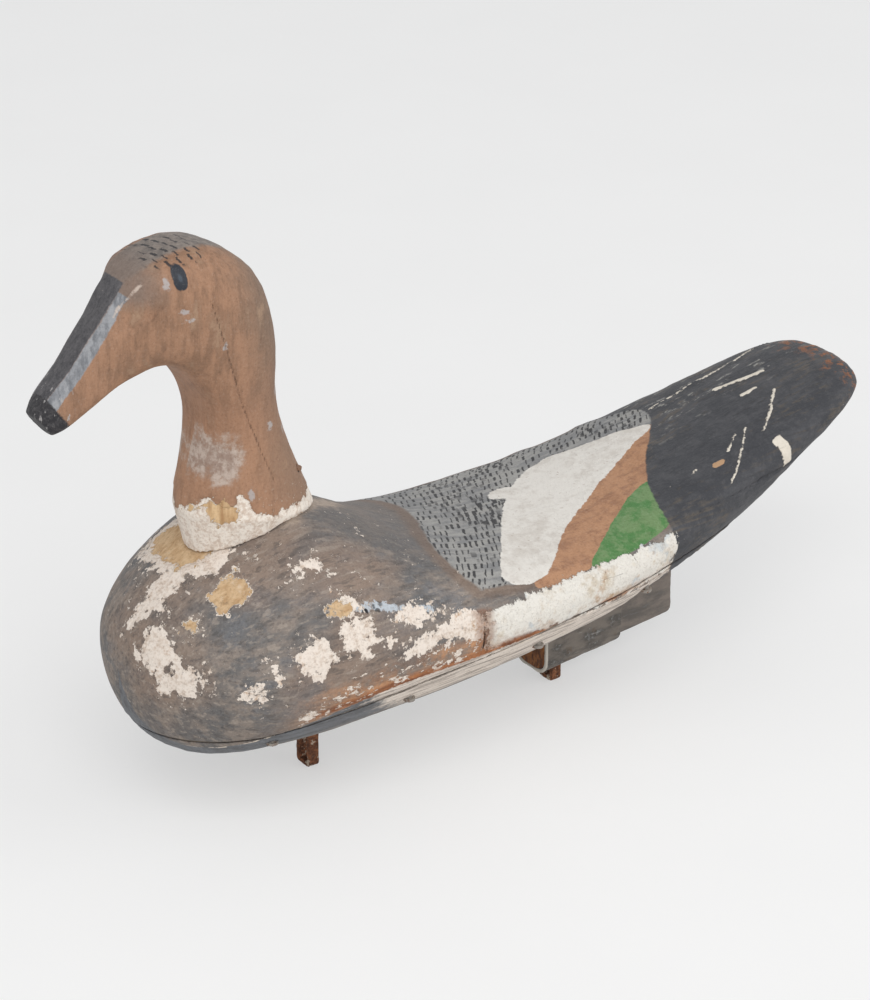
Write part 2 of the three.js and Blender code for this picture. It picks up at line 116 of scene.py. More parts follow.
def smooth_outline(corners, steps=6):
    """A closed curve through a few corners."""
    corners = np.array(corners, float)
    before, after, beyond = (np.roll(corners, shift, axis=0) for shift in (1, -1, -2))
    curve = []
    for t in np.arange(steps) / steps:
        curve.append(corners + 0.5 * ((after - before) * t
                                      + (2 * before - 5 * corners + 4 * after - beyond) * t ** 2
                                      + (3 * (corners - after) + beyond - before) * t ** 3))
    return np.stack(curve, axis=1).reshape(-1, 2)


def line_distance(places, line, width):
    """Distance of each flat place to a brush line of that width, negative inside."""
    parts = [segment_distance(places, a, b) for a, b in zip(line[:-1], line[1:])]
    return np.min(parts, axis=0) - width / 2


# ---------------------------------------------------------------- mesh helpers

def vertex_places(mesh):
    """The mesh's vertices, in millimetres."""
    flat = np.empty(len(mesh.vertices) * 3, np.float32)
    mesh.vertices.foreach_get("co", flat)
    return flat.reshape(-1, 3).astype(float) / MM


def vertex_normals(mesh):
    flat = np.empty(len(mesh.vertices) * 3, np.float32)
    mesh.vertices.foreach_get("normal", flat)
    return flat.reshape(-1, 3).astype(float)


def move_vertices(mesh, places):
    mesh.vertices.foreach_set("co", (places * MM).astype(np.float32).ravel())
    mesh.update()


def push(mesh, amount):
    """Moves each vertex along its normal by its amount, in millimetres."""
    move_vertices(mesh, vertex_places(mesh) + vertex_normals(mesh) * amount[:, None])


def mark(mesh, name, values):
    """Stores one number for each vertex under that name, for the materials."""
    layer = mesh.attributes.new(name, "FLOAT", "POINT")
    layer.data.foreach_set("value", np.asarray(values, np.float32))


def add_piece(name, mesh, slot, *nodes):
    """Makes a smooth-shaded piece that stands for those nodes of the frame."""
    piece = bpy.data.objects.new(name, mesh)
    bpy.context.scene.collection.objects.link(piece)
    mesh.shade_smooth()
    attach(piece, "root")
    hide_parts(*nodes)


def remeshed(node, grain):
    """A copy of a node's shape in even faces, each about one grain wide."""
    work = bpy.data.objects.new("work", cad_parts[node].data.copy())
    bpy.context.scene.collection.objects.link(work)
    remesh = work.modifiers.new("even", "REMESH")
    remesh.mode = "VOXEL"
    remesh.voxel_size = grain * MM
    ready = work.evaluated_get(bpy.context.evaluated_depsgraph_get())
    mesh = bpy.data.meshes.new_from_object(ready)
    mesh.materials.clear()
    bpy.data.objects.remove(work)
    return mesh


SMOOTHING = 0.5     # a vertex moves this share of the way to the middle of its neighbours
SWELLING = -0.52    # and in every second round this share away from it


def relax(mesh, rounds):
    """Evens out the facets. Every second round swells again, so the size stays."""
    pairs = np.empty(len(mesh.edges) * 2, np.int32)
    mesh.edges.foreach_get("vertices", pairs)
    pairs = pairs.reshape(-1, 2)
    count = np.bincount(pairs.ravel(), minlength=len(mesh.vertices))[:, None]
    places = vertex_places(mesh)
    for step in range(rounds):
        total = np.empty_like(places)
        for axis in range(3):
            first = np.bincount(pairs[:, 0], places[pairs[:, 1], axis], len(places))
            total[:, axis] = first + np.bincount(pairs[:, 1], places[pairs[:, 0], axis], len(places))
        amount = SWELLING if step % 2 else SMOOTHING
        places = places + (total / count - places) * amount
    move_vertices(mesh, places)


# ---------------------------------------------------------------- the hull's outer surface

RINGS = 460
SIDES = 330
HULL_NODES = ("body_shell", "bottom_board", "seam_putty")


def hull_box():
    corners = [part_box(name) for name in HULL_NODES]
    low = np.min([corner[0] for corner in corners], axis=0) / MM
    high = np.max([corner[1] for corner in corners], axis=0) / MM
    return low, high


BREAST_X = hull_box()[0][0]
TAIL_X = hull_box()[1][0]
BREAST_DEPTH = 75   # the breast's middle lies this far behind its front
BREAST_MIDDLE = np.array([BREAST_X + BREAST_DEPTH, 0, (hull_box()[0][2] + hull_box()[1][2]) / 2])


def search_tree(names, extra=None):
    verts, faces = [], []
    for name in names:
        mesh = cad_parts[name].data
        start = len(verts)
        verts += [v.co.copy() for v in mesh.vertices]
        faces += [[start + i for i in polygon.vertices] for polygon in mesh.polygons]
    if extra:
        start = len(verts)
        verts += extra
        faces.append([start, start + 1, start + 2, start + 3])
    return BVHTree.FromPolygons(verts, faces)


def height_under(tree, x, y):
    """Height of the first surface under a point high above the hull, in metres."""
    hit = tree.ray_cast(Vector((x, y, 0.4)), Vector((0, 0, -1)))[0]
    return hit.z


def bore_plug(tree):
    """A small lid over the dowel's bore, so that the surface runs on over it."""
    low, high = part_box("neck_dowel")
    margin = 3 * MM
    corners = [(low.x, low.y), (high.x, low.y), (high.x, high.y), (low.x, high.y)]
    middle = (low + high) / 2
    lid = []
    for x, y in corners:
        x += math.copysign(margin, x - middle.x)
        y += math.copysign(margin, y - middle.y)
        lid.append(Vector((x, y, height_under(tree, x, y))))
    return lid


def close_pits(radius):
    """Fills what is narrower than a few grid steps, such as nail and staple holes."""
    steps = range(-3, 4)
    for pick in (np.maximum, np.minimum):
        for axis in (0, 1):
            radius = pick.reduce([np.roll(radius, step, axis) for step in steps])
    return radius


def even_out(radius, along, around):
    """Blurs the grid of radii; past each end it goes on over the pole."""
    pad = 4 * along
    half = SIDES // 2
    front = -np.roll(radius[:pad][::-1], half, axis=1)
    back = -np.roll(radius[-pad:][::-1], half, axis=1)
    padded = np.vstack([front, radius, back])
    for axis, width in ((0, along), (1, around)):
        steps = np.arange(-3 * width, 3 * width + 1)
        weights = np.exp(-0.5 * (steps / width) ** 2)
        weights /= weights.sum()
        padded = sum(w * np.roll(padded, step, axis) for step, w in zip(steps, weights))
    return padded[pad:-pad]


def survey_hull():
    """Measures the frame's hull from outside, ring by ring, and returns its grid of places."""
    shell = search_tree(HULL_NODES)
    tree = search_tree(HULL_NODES, bore_plug(shell))
    share = (np.arange(RINGS) + 0.5) / RINGS
    ring_x = BREAST_X + (TAIL_X - BREAST_X) * (1 - np.cos(math.pi * share)) / 2
    middles = []
    for x in ring_x * MM:
        top = tree.ray_cast(Vector((x, 0.0005, 0.4)), Vector((0, 0, -1)))[0]
        bottom = tree.ray_cast(Vector((x, 0.0005, -0.1)), Vector((0, 0, 1)))[0]
        middles.append((top.z + bottom.z) / 2 if top and bottom else middles[-1])
    reach = np.arange(-12, 13)
    weights = np.exp(-0.5 * (reach / 4) ** 2)
    padded = np.pad(middles, 12, mode="edge")
    middles = np.convolve(padded, weights / weights.sum(), mode="valid")
    angles = 2 * math.pi * np.arange(SIDES) / SIDES
    radius = np.zeros((RINGS, SIDES))
    outside = 0.25
    for ring, (x, middle) in enumerate(zip(ring_x * MM, middles)):
        for side, angle in enumerate(angles):
            out = Vector((0, -math.cos(angle), math.sin(angle)))
            start = Vector((x, 0, middle)) + out * outside
            distance = tree.ray_cast(start, -out)[3]
            radius[ring, side] = outside - distance if distance else 0
    radius = even_out(close_pits(radius), 4, 3) / MM
    x = np.repeat(ring_x[:, None], SIDES, axis=1)
    y = -radius * np.cos(angles)
    z = middles[:, None] / MM + radius * np.sin(angles)
    return np.stack([x, y, z], axis=2)


def ring_sizes(grid):
    """Of each ring: x, half width, and the heights of its widest line, back and belly."""
    half = np.abs(grid[:, :, 1]).max(axis=1)
    widest = np.abs(grid[:, :, 1]).argmax(axis=1)
    girth = grid[np.arange(RINGS), widest, 2]
    weights = np.ones(21) / 21
    girth = np.convolve(np.pad(girth, 10, mode="edge"), weights, mode="valid")
    return grid[:, 0, 0], half, girth, grid[:, :, 2].max(axis=1), grid[:, :, 2].min(axis=1)


def hull_turn(places, sizes):
    """Degrees round the hull: 0 on the left side's widest line, 90 on the back's middle,
    180 on the right side's widest line, and -90 or 270 under the belly."""
    ring_x, half, girth, back, belly = sizes
    x = places[:, 0]
    across = np.abs(places[:, 1]) / np.interp(x, ring_x, half)
    widest = np.interp(x, ring_x, girth)
    rise = places[:, 2] - widest
    above = rise / np.maximum(np.interp(x, ring_x, back) - widest, 0.5)
    below = rise / np.maximum(widest - np.interp(x, ring_x, belly), 0.5)
    turn = np.degrees(np.arctan2(np.where(rise > 0, above, below), across))
    return np.where(places[:, 1] > 0, 180 - turn, turn)


def grid_mesh(grid):
    rings = [(ring, ring + 1) for ring in range(RINGS - 1)]
    faces = []
    for low, high in rings:
        for side in range(SIDES):
            after = (side + 1) % SIDES
            faces.append((low * SIDES + side, high * SIDES + side,
                          high * SIDES + after, low * SIDES + after))
    front = RINGS * SIDES
    last = (RINGS - 1) * SIDES
    for side in range(SIDES):
        after = (side + 1) % SIDES
        faces.append((front, side, after))
        faces.append((front + 1, last + after, last + side))
    poles = np.stack([grid[0].mean(axis=0), grid[-1].mean(axis=0)])
    mesh = bpy.data.meshes.new("hull")
    mesh.from_pydata(np.vstack([grid.reshape(-1, 3), poles]) * MM, [], faces)
    mesh.update()
    outward = mesh.vertices[last // 2].normal.dot(mesh.vertices[last // 2].co - Vector((0, 0, 0.08)))
    if outward < 0:
        mesh.flip_normals()
    return mesh


# ---------------------------------------------------------------- painted marks on the hull
# A place on the hull is (millimetres behind the breast, degrees of turn).

TAIL_START = 247                  # where the dark tail begins on the sides
TAIL_NOTCH = 45                   # how much further back it begins on the back
NOTCH_TURN = 121
BACK_START = 149                  # where the grey back begins, and how far its edge wanders
BACK_WAVE = 9
FLANK_ENDS = (141, 250)
RED_ENDS = (42, 140)

WING_WHITE = [(286, 105), (255, 118), (230, 117), (205, 100), (180, 72), (160, 42), (176, 35),
              (210, 64), (260, 91)]
WING_STUB = (206, 103, 8, 5)
WING_BROWN = [(286, 105), (276, 86), (259, 63), (215, 37), (185, 26), (172, 34), (205, 64), (260, 95)]
WING_GREEN = [(259, 66), (252, 36), (228, 28), (202, 32), (232, 57)]

# Flakes are ovals that the noise tears: middle, half length, half height and lean.
BARE_WOOD = [(37, 100, 9, 22), (36, 56, 7, 7), (17, 48, 3, 5), (71, 29, 5, 3)]
GESSO_FLAKES = [
    (37, 98, 14, 32), (22, 84, 17, 9), (8, 40, 5, 28), (10, 8, 6, 15), (59, 13, 7, 9),
    (84, 15, 12, 6, -0.4), (121, 7, 19, 6, 0.2), (65, 50, 6, 4), (34, 0, 3, 3), (43, 7, 2, 3),
    (60, -19, 5, 4), (106, 22, 10, 4), (78, 31, 5, 3), (134, 10, 8, 9),
]
SCUFF = [(36, 88), (72, 74), (112, 96)]
BLUE_STREAK = [(80, 28), (116, 25)]
CRACK = [(141, 18), (140, -9)]
TAN_SPOT = [(286, 50), (289, 49)]
TAIL_CREASE = [(254, 30), (302, 3), (334, -20)]
# Runs and dabs of pale paint on the tail: a line and its width.
DRIPS = [
    ([(326, 86), (333, 85)], 2.6),
    ([(338, 74), (326, 59), (316, 50)], 1.5),
    ([(318, 36), (320, 16), (321, -8)], 5.5),
    ([(311, 60), (286, 29)], 1.3),
    ([(305, 60), (296, 53)], 1.0),
    ([(294, 118), (345, 128), (366, 143)], 1.0),
    ([(322, 105), (344, 98)], 3.2),
    ([(274, 54), (277, 55)], 1.6),
]


def chine_turn(behind):
    """The turn of the edge between body side and underside: it climbs from the breast,
    runs level, and drops again towards the tail."""
    past = np.maximum(behind - 160, 0) / 222
    return -16 - 69 * np.exp(-behind / 30) - 34 * past ** 2


def tail_edge(turn):
    """Where the dark tail starts; it leaves a notch for the grey back."""
    width = np.where(turn < NOTCH_TURN, 45, 34)
    return TAIL_START + TAIL_NOTCH * np.exp(-((turn - NOTCH_TURN) / width) ** 2)


def back_edge(turn):
    return BACK_START - BACK_WAVE * np.cos(np.radians((turn - 58) * 3.1))


def far_wing(outline):
    """The same outline on the duck's right side, where the paint stops lower down."""
    flipped = outline.copy()
    flipped[:, 1] = 172 - (outline[:, 1] - 30) * 0.23
    return flipped


def both_sides(flat, outline):
    left = smooth_outline(outline)
    return np.minimum(outline_distance(flat, left), outline_distance(flat, far_wing(left)))


def place_outlines(outlines, places, turn):
    """The outlines' corners as places on the hull: for each, the nearest vertex."""
    seen = np.column_stack([places[:, 0] - BREAST_X, turn])
    placed = []
    for outline in outlines:
        near = [np.argmin(((seen - np.array(point)) ** 2).sum(axis=1)) for point in outline]
        placed.append(places[near])
    return placed


def surface_patch(places, corners):
    """Distance in millimetres to an outline laid on the curved surface, negative inside.
    The outline is flattened onto the plane that touches the hull at its middle."""
    middle = corners.mean(axis=0)
    facing = middle - BREAST_MIDDLE
    facing /= np.linalg.norm(facing)
    across = np.cross(facing, [0, 0, 1.0])
    across /= np.linalg.norm(across)
    up = np.cross(across, facing)
    flat = np.column_stack([(places - middle) @ across, (places - middle) @ up])
    shape = np.column_stack([(corners - middle) @ across, (corners - middle) @ up])
    away = (middle - places) @ facing
    return outline_distance(flat, shape) + np.maximum(away - 22, 0) * 2


def hull_marks(places, sizes, seam, flakes):
    """Every painted or worn zone as a distance field, by name, for one piece of the hull."""
    turn = hull_turn(places, sizes)
    behind = places[:, 0] - BREAST_X
    around = np.where(turn > 90, 180 - turn, turn)
    flat = np.column_stack([behind, turn])
    chine = around - chine_turn(behind)
    flank_top = 29 - 12 * ((behind - 200) / 60) ** 2 - np.where(turn > 90, 21, 0)
    rear = behind - FLANK_ENDS[1] + 0.012 * (around - 5) ** 2
    flank = np.max([around - flank_top, 4 - chine, FLANK_ENDS[0] - behind, rear], axis=0)
    red = np.max([chine - 17, -chine, RED_ENDS[0] - behind, behind - RED_ENDS[1]], axis=0)
    stub = oval_distance(flat, WING_STUB[:2], WING_STUB[2:])
    fields = {
        "behind": behind,
        "turn": turn,
        "wing_white": np.minimum(both_sides(flat, WING_WHITE), stub),
        "wing_brown": both_sides(flat, WING_BROWN),
        "wing_green": both_sides(flat, WING_GREEN),
        "flank": flank,
        "red": red,
        "tail": tail_edge(turn) - behind,
        "back": np.maximum(back_edge(turn) - behind, 36 - around),
        "chine": chine,
        "wood": np.min([surface_patch(places, flake) for flake in flakes["wood"]], axis=0),
        "gesso": np.min([surface_patch(places, flake) for flake in flakes["gesso"]], axis=0),
        "scuff": line_distance(flat, np.array(SCUFF, float), 9),
        "streak": line_distance(flat, np.array(BLUE_STREAK, float), 4),
        "crack": line_distance(flat, np.array(CRACK, float), 0.6),
        "drip": np.min([line_distance(flat, np.array(d, float), w) for d, w in DRIPS], axis=0),
        "tan": line_distance(flat, np.array(TAN_SPOT, float), 4.0),
        "crease": line_distance(flat, np.array(TAIL_CREASE, float), 1.0),
        "seam": places[:, 2] - seam[0] - seam[1] * places[:, 0],
    }
    return {name: np.clip(values, -400, 400) for name, values in fields.items()}


def carve_hull(mesh, sizes, seam, flakes):
    """Knife and rasp marks, the chine, the tail's crease, flaked paint and open cracks."""
    places = vertex_places(mesh)
    fields = hull_marks(places, sizes, seam, flakes)
    stretched = places * np.array([0.25, 1, 1])
    depth = 0.35 * rough_noise(places, 34, 3, 2) + 0.12 * rough_noise(places, 9, 11, 2)
    tail = smooth_step(6, -6, fields["tail"])
    depth += tail * 0.22 * rough_noise(stretched, 3.5, 23, 2)
    band = smooth_step(3, -3, fields["chine"])
    depth += band * 0.20 * rough_noise(stretched, 3.0, 31, 2)
    under = np.clip(-fields["chine"], 0, 40) / 40
    ends = smooth_step(20, 70, fields["behind"]) * smooth_step(340, 250, fields["behind"])
    depth -= ends * 1.9 * np.sqrt(under) * (1 - under) * 2
    ragged = rough_noise(places, 4, 41, 3)
    depth -= 0.45 * smooth_step(0.7, -0.3, fields["wood"] + ragged)
    depth -= 0.25 * smooth_step(0.7, -0.3, fields["gesso"] + 1.5 * ragged)
    depth -= 0.8 * smooth_step(1.0, -0.2, fields["crack"])
    depth -= 0.7 * smooth_step(1.6, 0, fields["crease"] + 0.5 * ragged)
    depth += 0.3 * smooth_step(0.5, -0.5, fields["drip"])
    flank = smooth_step(0.5, -1.0, fields["flank"] + ragged)
    depth += flank * (0.15 + 0.12 * rough_noise(places, 2.5, 57, 2))
    depth -= 0.5 * smooth_step(1.0, 0.2, np.abs(fields["seam"]))
    push(mesh, depth)


def seam_plane():
    """Height and slope of the joint between body and board, from the bedding putty."""
    places = vertex_places(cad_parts["seam_putty"].data)
    slope, height = np.polyfit(places[:, 0], places[:, 2], 1)
    return height, slope


def hull_part(mesh, seam, offset, keep_above):
    """The part of the closed hull above or below the joint, closed again at its cut."""
    part = mesh.copy()
    work = bmesh.new()
    work.from_mesh(part)
    spot = Vector((0, 0, (seam[0] + offset) * MM))
    facing = Vector((-seam[1], 0, 1)).normalized()
    everything = work.verts[:] + work.edges[:] + work.faces[:]
    cut = bmesh.ops.bisect_plane(work, geom=everything, plane_co=spot, plane_no=facing,
                                 clear_inner=keep_above, clear_outer=not keep_above)
    rim = [item for item in cut["geom_cut"] if isinstance(item, bmesh.types.BMEdge)]
    bmesh.ops.holes_fill(work, edges=rim, sides=0)
    work.to_mesh(part)
    work.free()
    part.update()
    return part


def shrink_rim(mesh, amount):
    """Draws a thin layer's edge inwards, level with the joint."""
    places = vertex_places(mesh)
    normals = vertex_normals(mesh) * np.array([1, 1, 0])
    length = np.maximum(np.linalg.norm(normals, axis=1, keepdims=True), 0.2)
    move_vertices(mesh, places - normals / length * amount)


# ---------------------------------------------------------------- materials

class Wire:
    """A socket that operators work on: each operator adds one Math node."""

    def __init__(self, finish, socket):
        self.finish = finish
        self.socket = socket

    def math(self, operation, *others):
        inputs = dict(enumerate((self, *others)))
        return self.finish.node("ShaderNodeMath", {"operation": operation}, inputs)

    def __add__(self, other):
        return self.math("ADD", other)

    def __radd__(self, other):
        return self.math("ADD", other)

    def __sub__(self, other):
        return self.math("SUBTRACT", other)

    def __rsub__(self, other):
        return self.math("MULTIPLY", -1) + other

    def __mul__(self, other):
        return self.math("MULTIPLY", other)

    def __rmul__(self, other):
        return self.math("MULTIPLY", other)

    def __truediv__(self, other):
        return self.math("DIVIDE", other)

    def __abs__(self):
        return self.math("ABSOLUTE")

    def floor(self):
        return self.math("FLOOR")

    def most(self, other):
        return self.math("MAXIMUM", other)

    def rise(self, low, high):
        """Goes smoothly from 0 at low to 1 at high; with low above high it falls instead."""
        settings = {"interpolation_type": "SMOOTHSTEP", "clamp": True}
        if low > high:
            return 1 - self.rise(high, low)
        inputs = {"Value": self, "From Min": low, "From Max": high}
        return self.finish.node("ShaderNodeMapRange", settings, inputs)


class Nodes:
    """A node tree; node() adds any node to it, with its settings and then its inputs."""

    def __init__(self, tree):
        self.tree = tree

    def node(self, kind, settings=None, inputs=None, output=0):
        made = self.tree.nodes.new(kind)
        for key, value in (settings or {}).items():
            setattr(made, key, value)
        for key, value in (inputs or {}).items():
            self.feed(made.inputs[key], value)
        return Wire(self, made.outputs[output]) if made.outputs else made

    def feed(self, socket, value):
        if isinstance(value, Wire):
            self.tree.links.new(value.socket, socket)
        else:
            socket.default_value = value

    def white_when_seen(self, plain, white, share):
        """The plain shader for light, mixed with white for what the camera, gloss and glass see."""
        seen = self.node("ShaderNodeLightPath", None, None, "Is Camera Ray")
        for ray in ("Is Glossy Ray", "Is Transmission Ray"):
            seen = seen.most(self.node("ShaderNodeLightPath", None, None, ray))
        return self.node("ShaderNodeMixShader", None, {0: seen * share, 1: plain, 2: white})


class Finish(Nodes):
    """One material with a Principled shader."""

    def __init__(self, name, **constants):
        self.material = bpy.data.materials.new(name)
        self.material.use_nodes = True
        super().__init__(self.material.node_tree)
        self.shader = self.tree.nodes["Principled BSDF"]
        for socket, value in {"Specular_IOR_Level": 0.3, **constants}.items():
            self.shader.inputs[socket.replace("_", " ")].default_value = value
        coordinates = self.node("ShaderNodeTexCoord", output="Object")
        self.place = self.vector("MULTIPLY", coordinates, (1 / MM, 1 / MM, 1 / MM))

    def vector(self, operation, first, second):
        return self.node("ShaderNodeVectorMath", {"operation": operation}, {0: first, 1: second})

    def join(self, x, y, z=0.0):
        return self.node("ShaderNodeCombineXYZ", None, {0: x, 1: y, 2: z})

    def axis(self, name):
        return self.node("ShaderNodeSeparateXYZ", None, {0: self.place}, name)

    def marked(self, name):
        return self.node("ShaderNodeAttribute", {"attribute_name": name}, None, "Fac")

    def noise(self, size, detail=3, roughness=0.55, stretch=(1, 1, 1), place=None, shift=0):
        """Noise from 0 to 1 whose largest lumps are about size millimetres across."""
        scale = tuple(axis / size for axis in stretch)
        spot = self.vector("MULTIPLY", place or self.place, scale)
        spot = self.vector("ADD", spot, (shift, shift * 2, shift * 3))
        inputs = {"Vector": spot, "Scale": 1, "Detail": detail, "Roughness": roughness}
        return self.node("ShaderNodeTexNoise", None, inputs)

    def cells(self, size):
        """Distance to the nearest of scattered points, in shares of size."""
        spot = self.vector("MULTIPLY", self.place, (1 / size,) * 3)
        return self.node("ShaderNodeTexVoronoi", None, {"Vector": spot, "Scale": 1})

    def chance(self, x, y, seed):
        """A fixed random number from 0 to 1 for each pair of whole numbers."""
        return self.node("ShaderNodeTexWhiteNoise", None, {"Vector": self.join(x, y, seed)})

    def blend(self, first, second, amount, mode="MIX"):
        settings = {"data_type": "RGBA", "blend_type": mode}
        return self.node("ShaderNodeMix", settings, {0: amount, 6: first, 7: second}, 2)

    def inside(self, distance, ragged=None, amount=1.0, soft=0.25):
        """1 inside a zone and 0 outside it, with a torn edge where ragged noise is given."""
        if ragged is not None:
            distance = distance + (ragged - 0.5) * (2 * amount)
        return distance.rise(soft, -soft)

    def aged(self, color, amount):
        """Fine dark and light mottling over a colour, from handling and weather."""
        grime = self.noise(1.1, 3, 0.7, shift=71)
        haze = self.noise(3.6, 4, 0.7, shift=77)
        color = self.blend(color, (0.42, 0.38, 0.35, 1), grime.rise(0.5, 0.72) * amount, "MULTIPLY")
        color = self.blend(color, (0.60, 0.57, 0.54, 1), haze.rise(0.52, 0.66) * (amount * 0.5), "MULTIPLY")
        return self.blend(color, (0.13, 0.12, 0.11, 1), grime.rise(0.46, 0.30) * amount, "SCREEN")

    def done(self, color, roughness, height, depth=1.0, metallic=None):
        """Connects the results; height is in millimetres."""
        inputs = {"Strength": 1.0, "Distance": MM * depth, "Height": height}
        bump = self.node("ShaderNodeBump", None, inputs)
        self.feed(self.shader.inputs["Base Color"], color)
        self.feed(self.shader.inputs["Roughness"], roughness)
        self.feed(self.shader.inputs["Normal"], bump)
        if metallic is not None:
            self.feed(self.shader.inputs["Metallic"], metallic)
        return self.material


def paint(red, green, blue):
    """A colour given on a 0 to 255 scale, as the shader's linear numbers."""
    linear = []
    for value in (red, green, blue):
        share = value / 255
        linear.append(share / 12.92 if share <= 0.04045 else ((share + 0.055) / 1.055) ** 2.4)
    return (*linear, 1.0)


def strokes(f, along, across, pitch, row, width, slant, wobble, seed):
    """Rows of short brush strokes; each has its own length, weight and place."""
    line = across / row
    row_number = line.floor()
    step = along / pitch + f.chance(row_number, 0.5, seed)
    column = step.floor()
    luck = f.chance(column, row_number, seed + 1)
    weight = f.chance(column, row_number, seed + 2)
    v = (line - row_number - 0.5) * row
    u = (step - column - 0.5) * pitch + v * slant + (luck - 0.5) * (pitch * 0.35)
    u = u + (wobble - 0.5) * 2.2
    thick = (weight * 0.8 + 0.4) * (width / 2)
    long = (luck * 0.45 + 0.5) * (row / 2)
    bar = (abs(u) - thick).rise(0.22, -0.22) * (abs(v) - long).rise(0.3, -0.3)
    return bar * luck.rise(0.16, 0.22)


def bare_wood_color(f, light, dark, stretch=(0.12, 1, 1)):
    """Straight grain with darker pores."""
    grain = f.noise(2.2, 4, 0.6, stretch)
    pores = f.noise(0.9, 2, 0.5, (0.08, 1, 1), shift=5)
    color = f.blend(light, dark, grain.rise(0.35, 0.75))
    return f.blend(color, dark, pores.rise(0.62, 0.8) * 0.5), grain


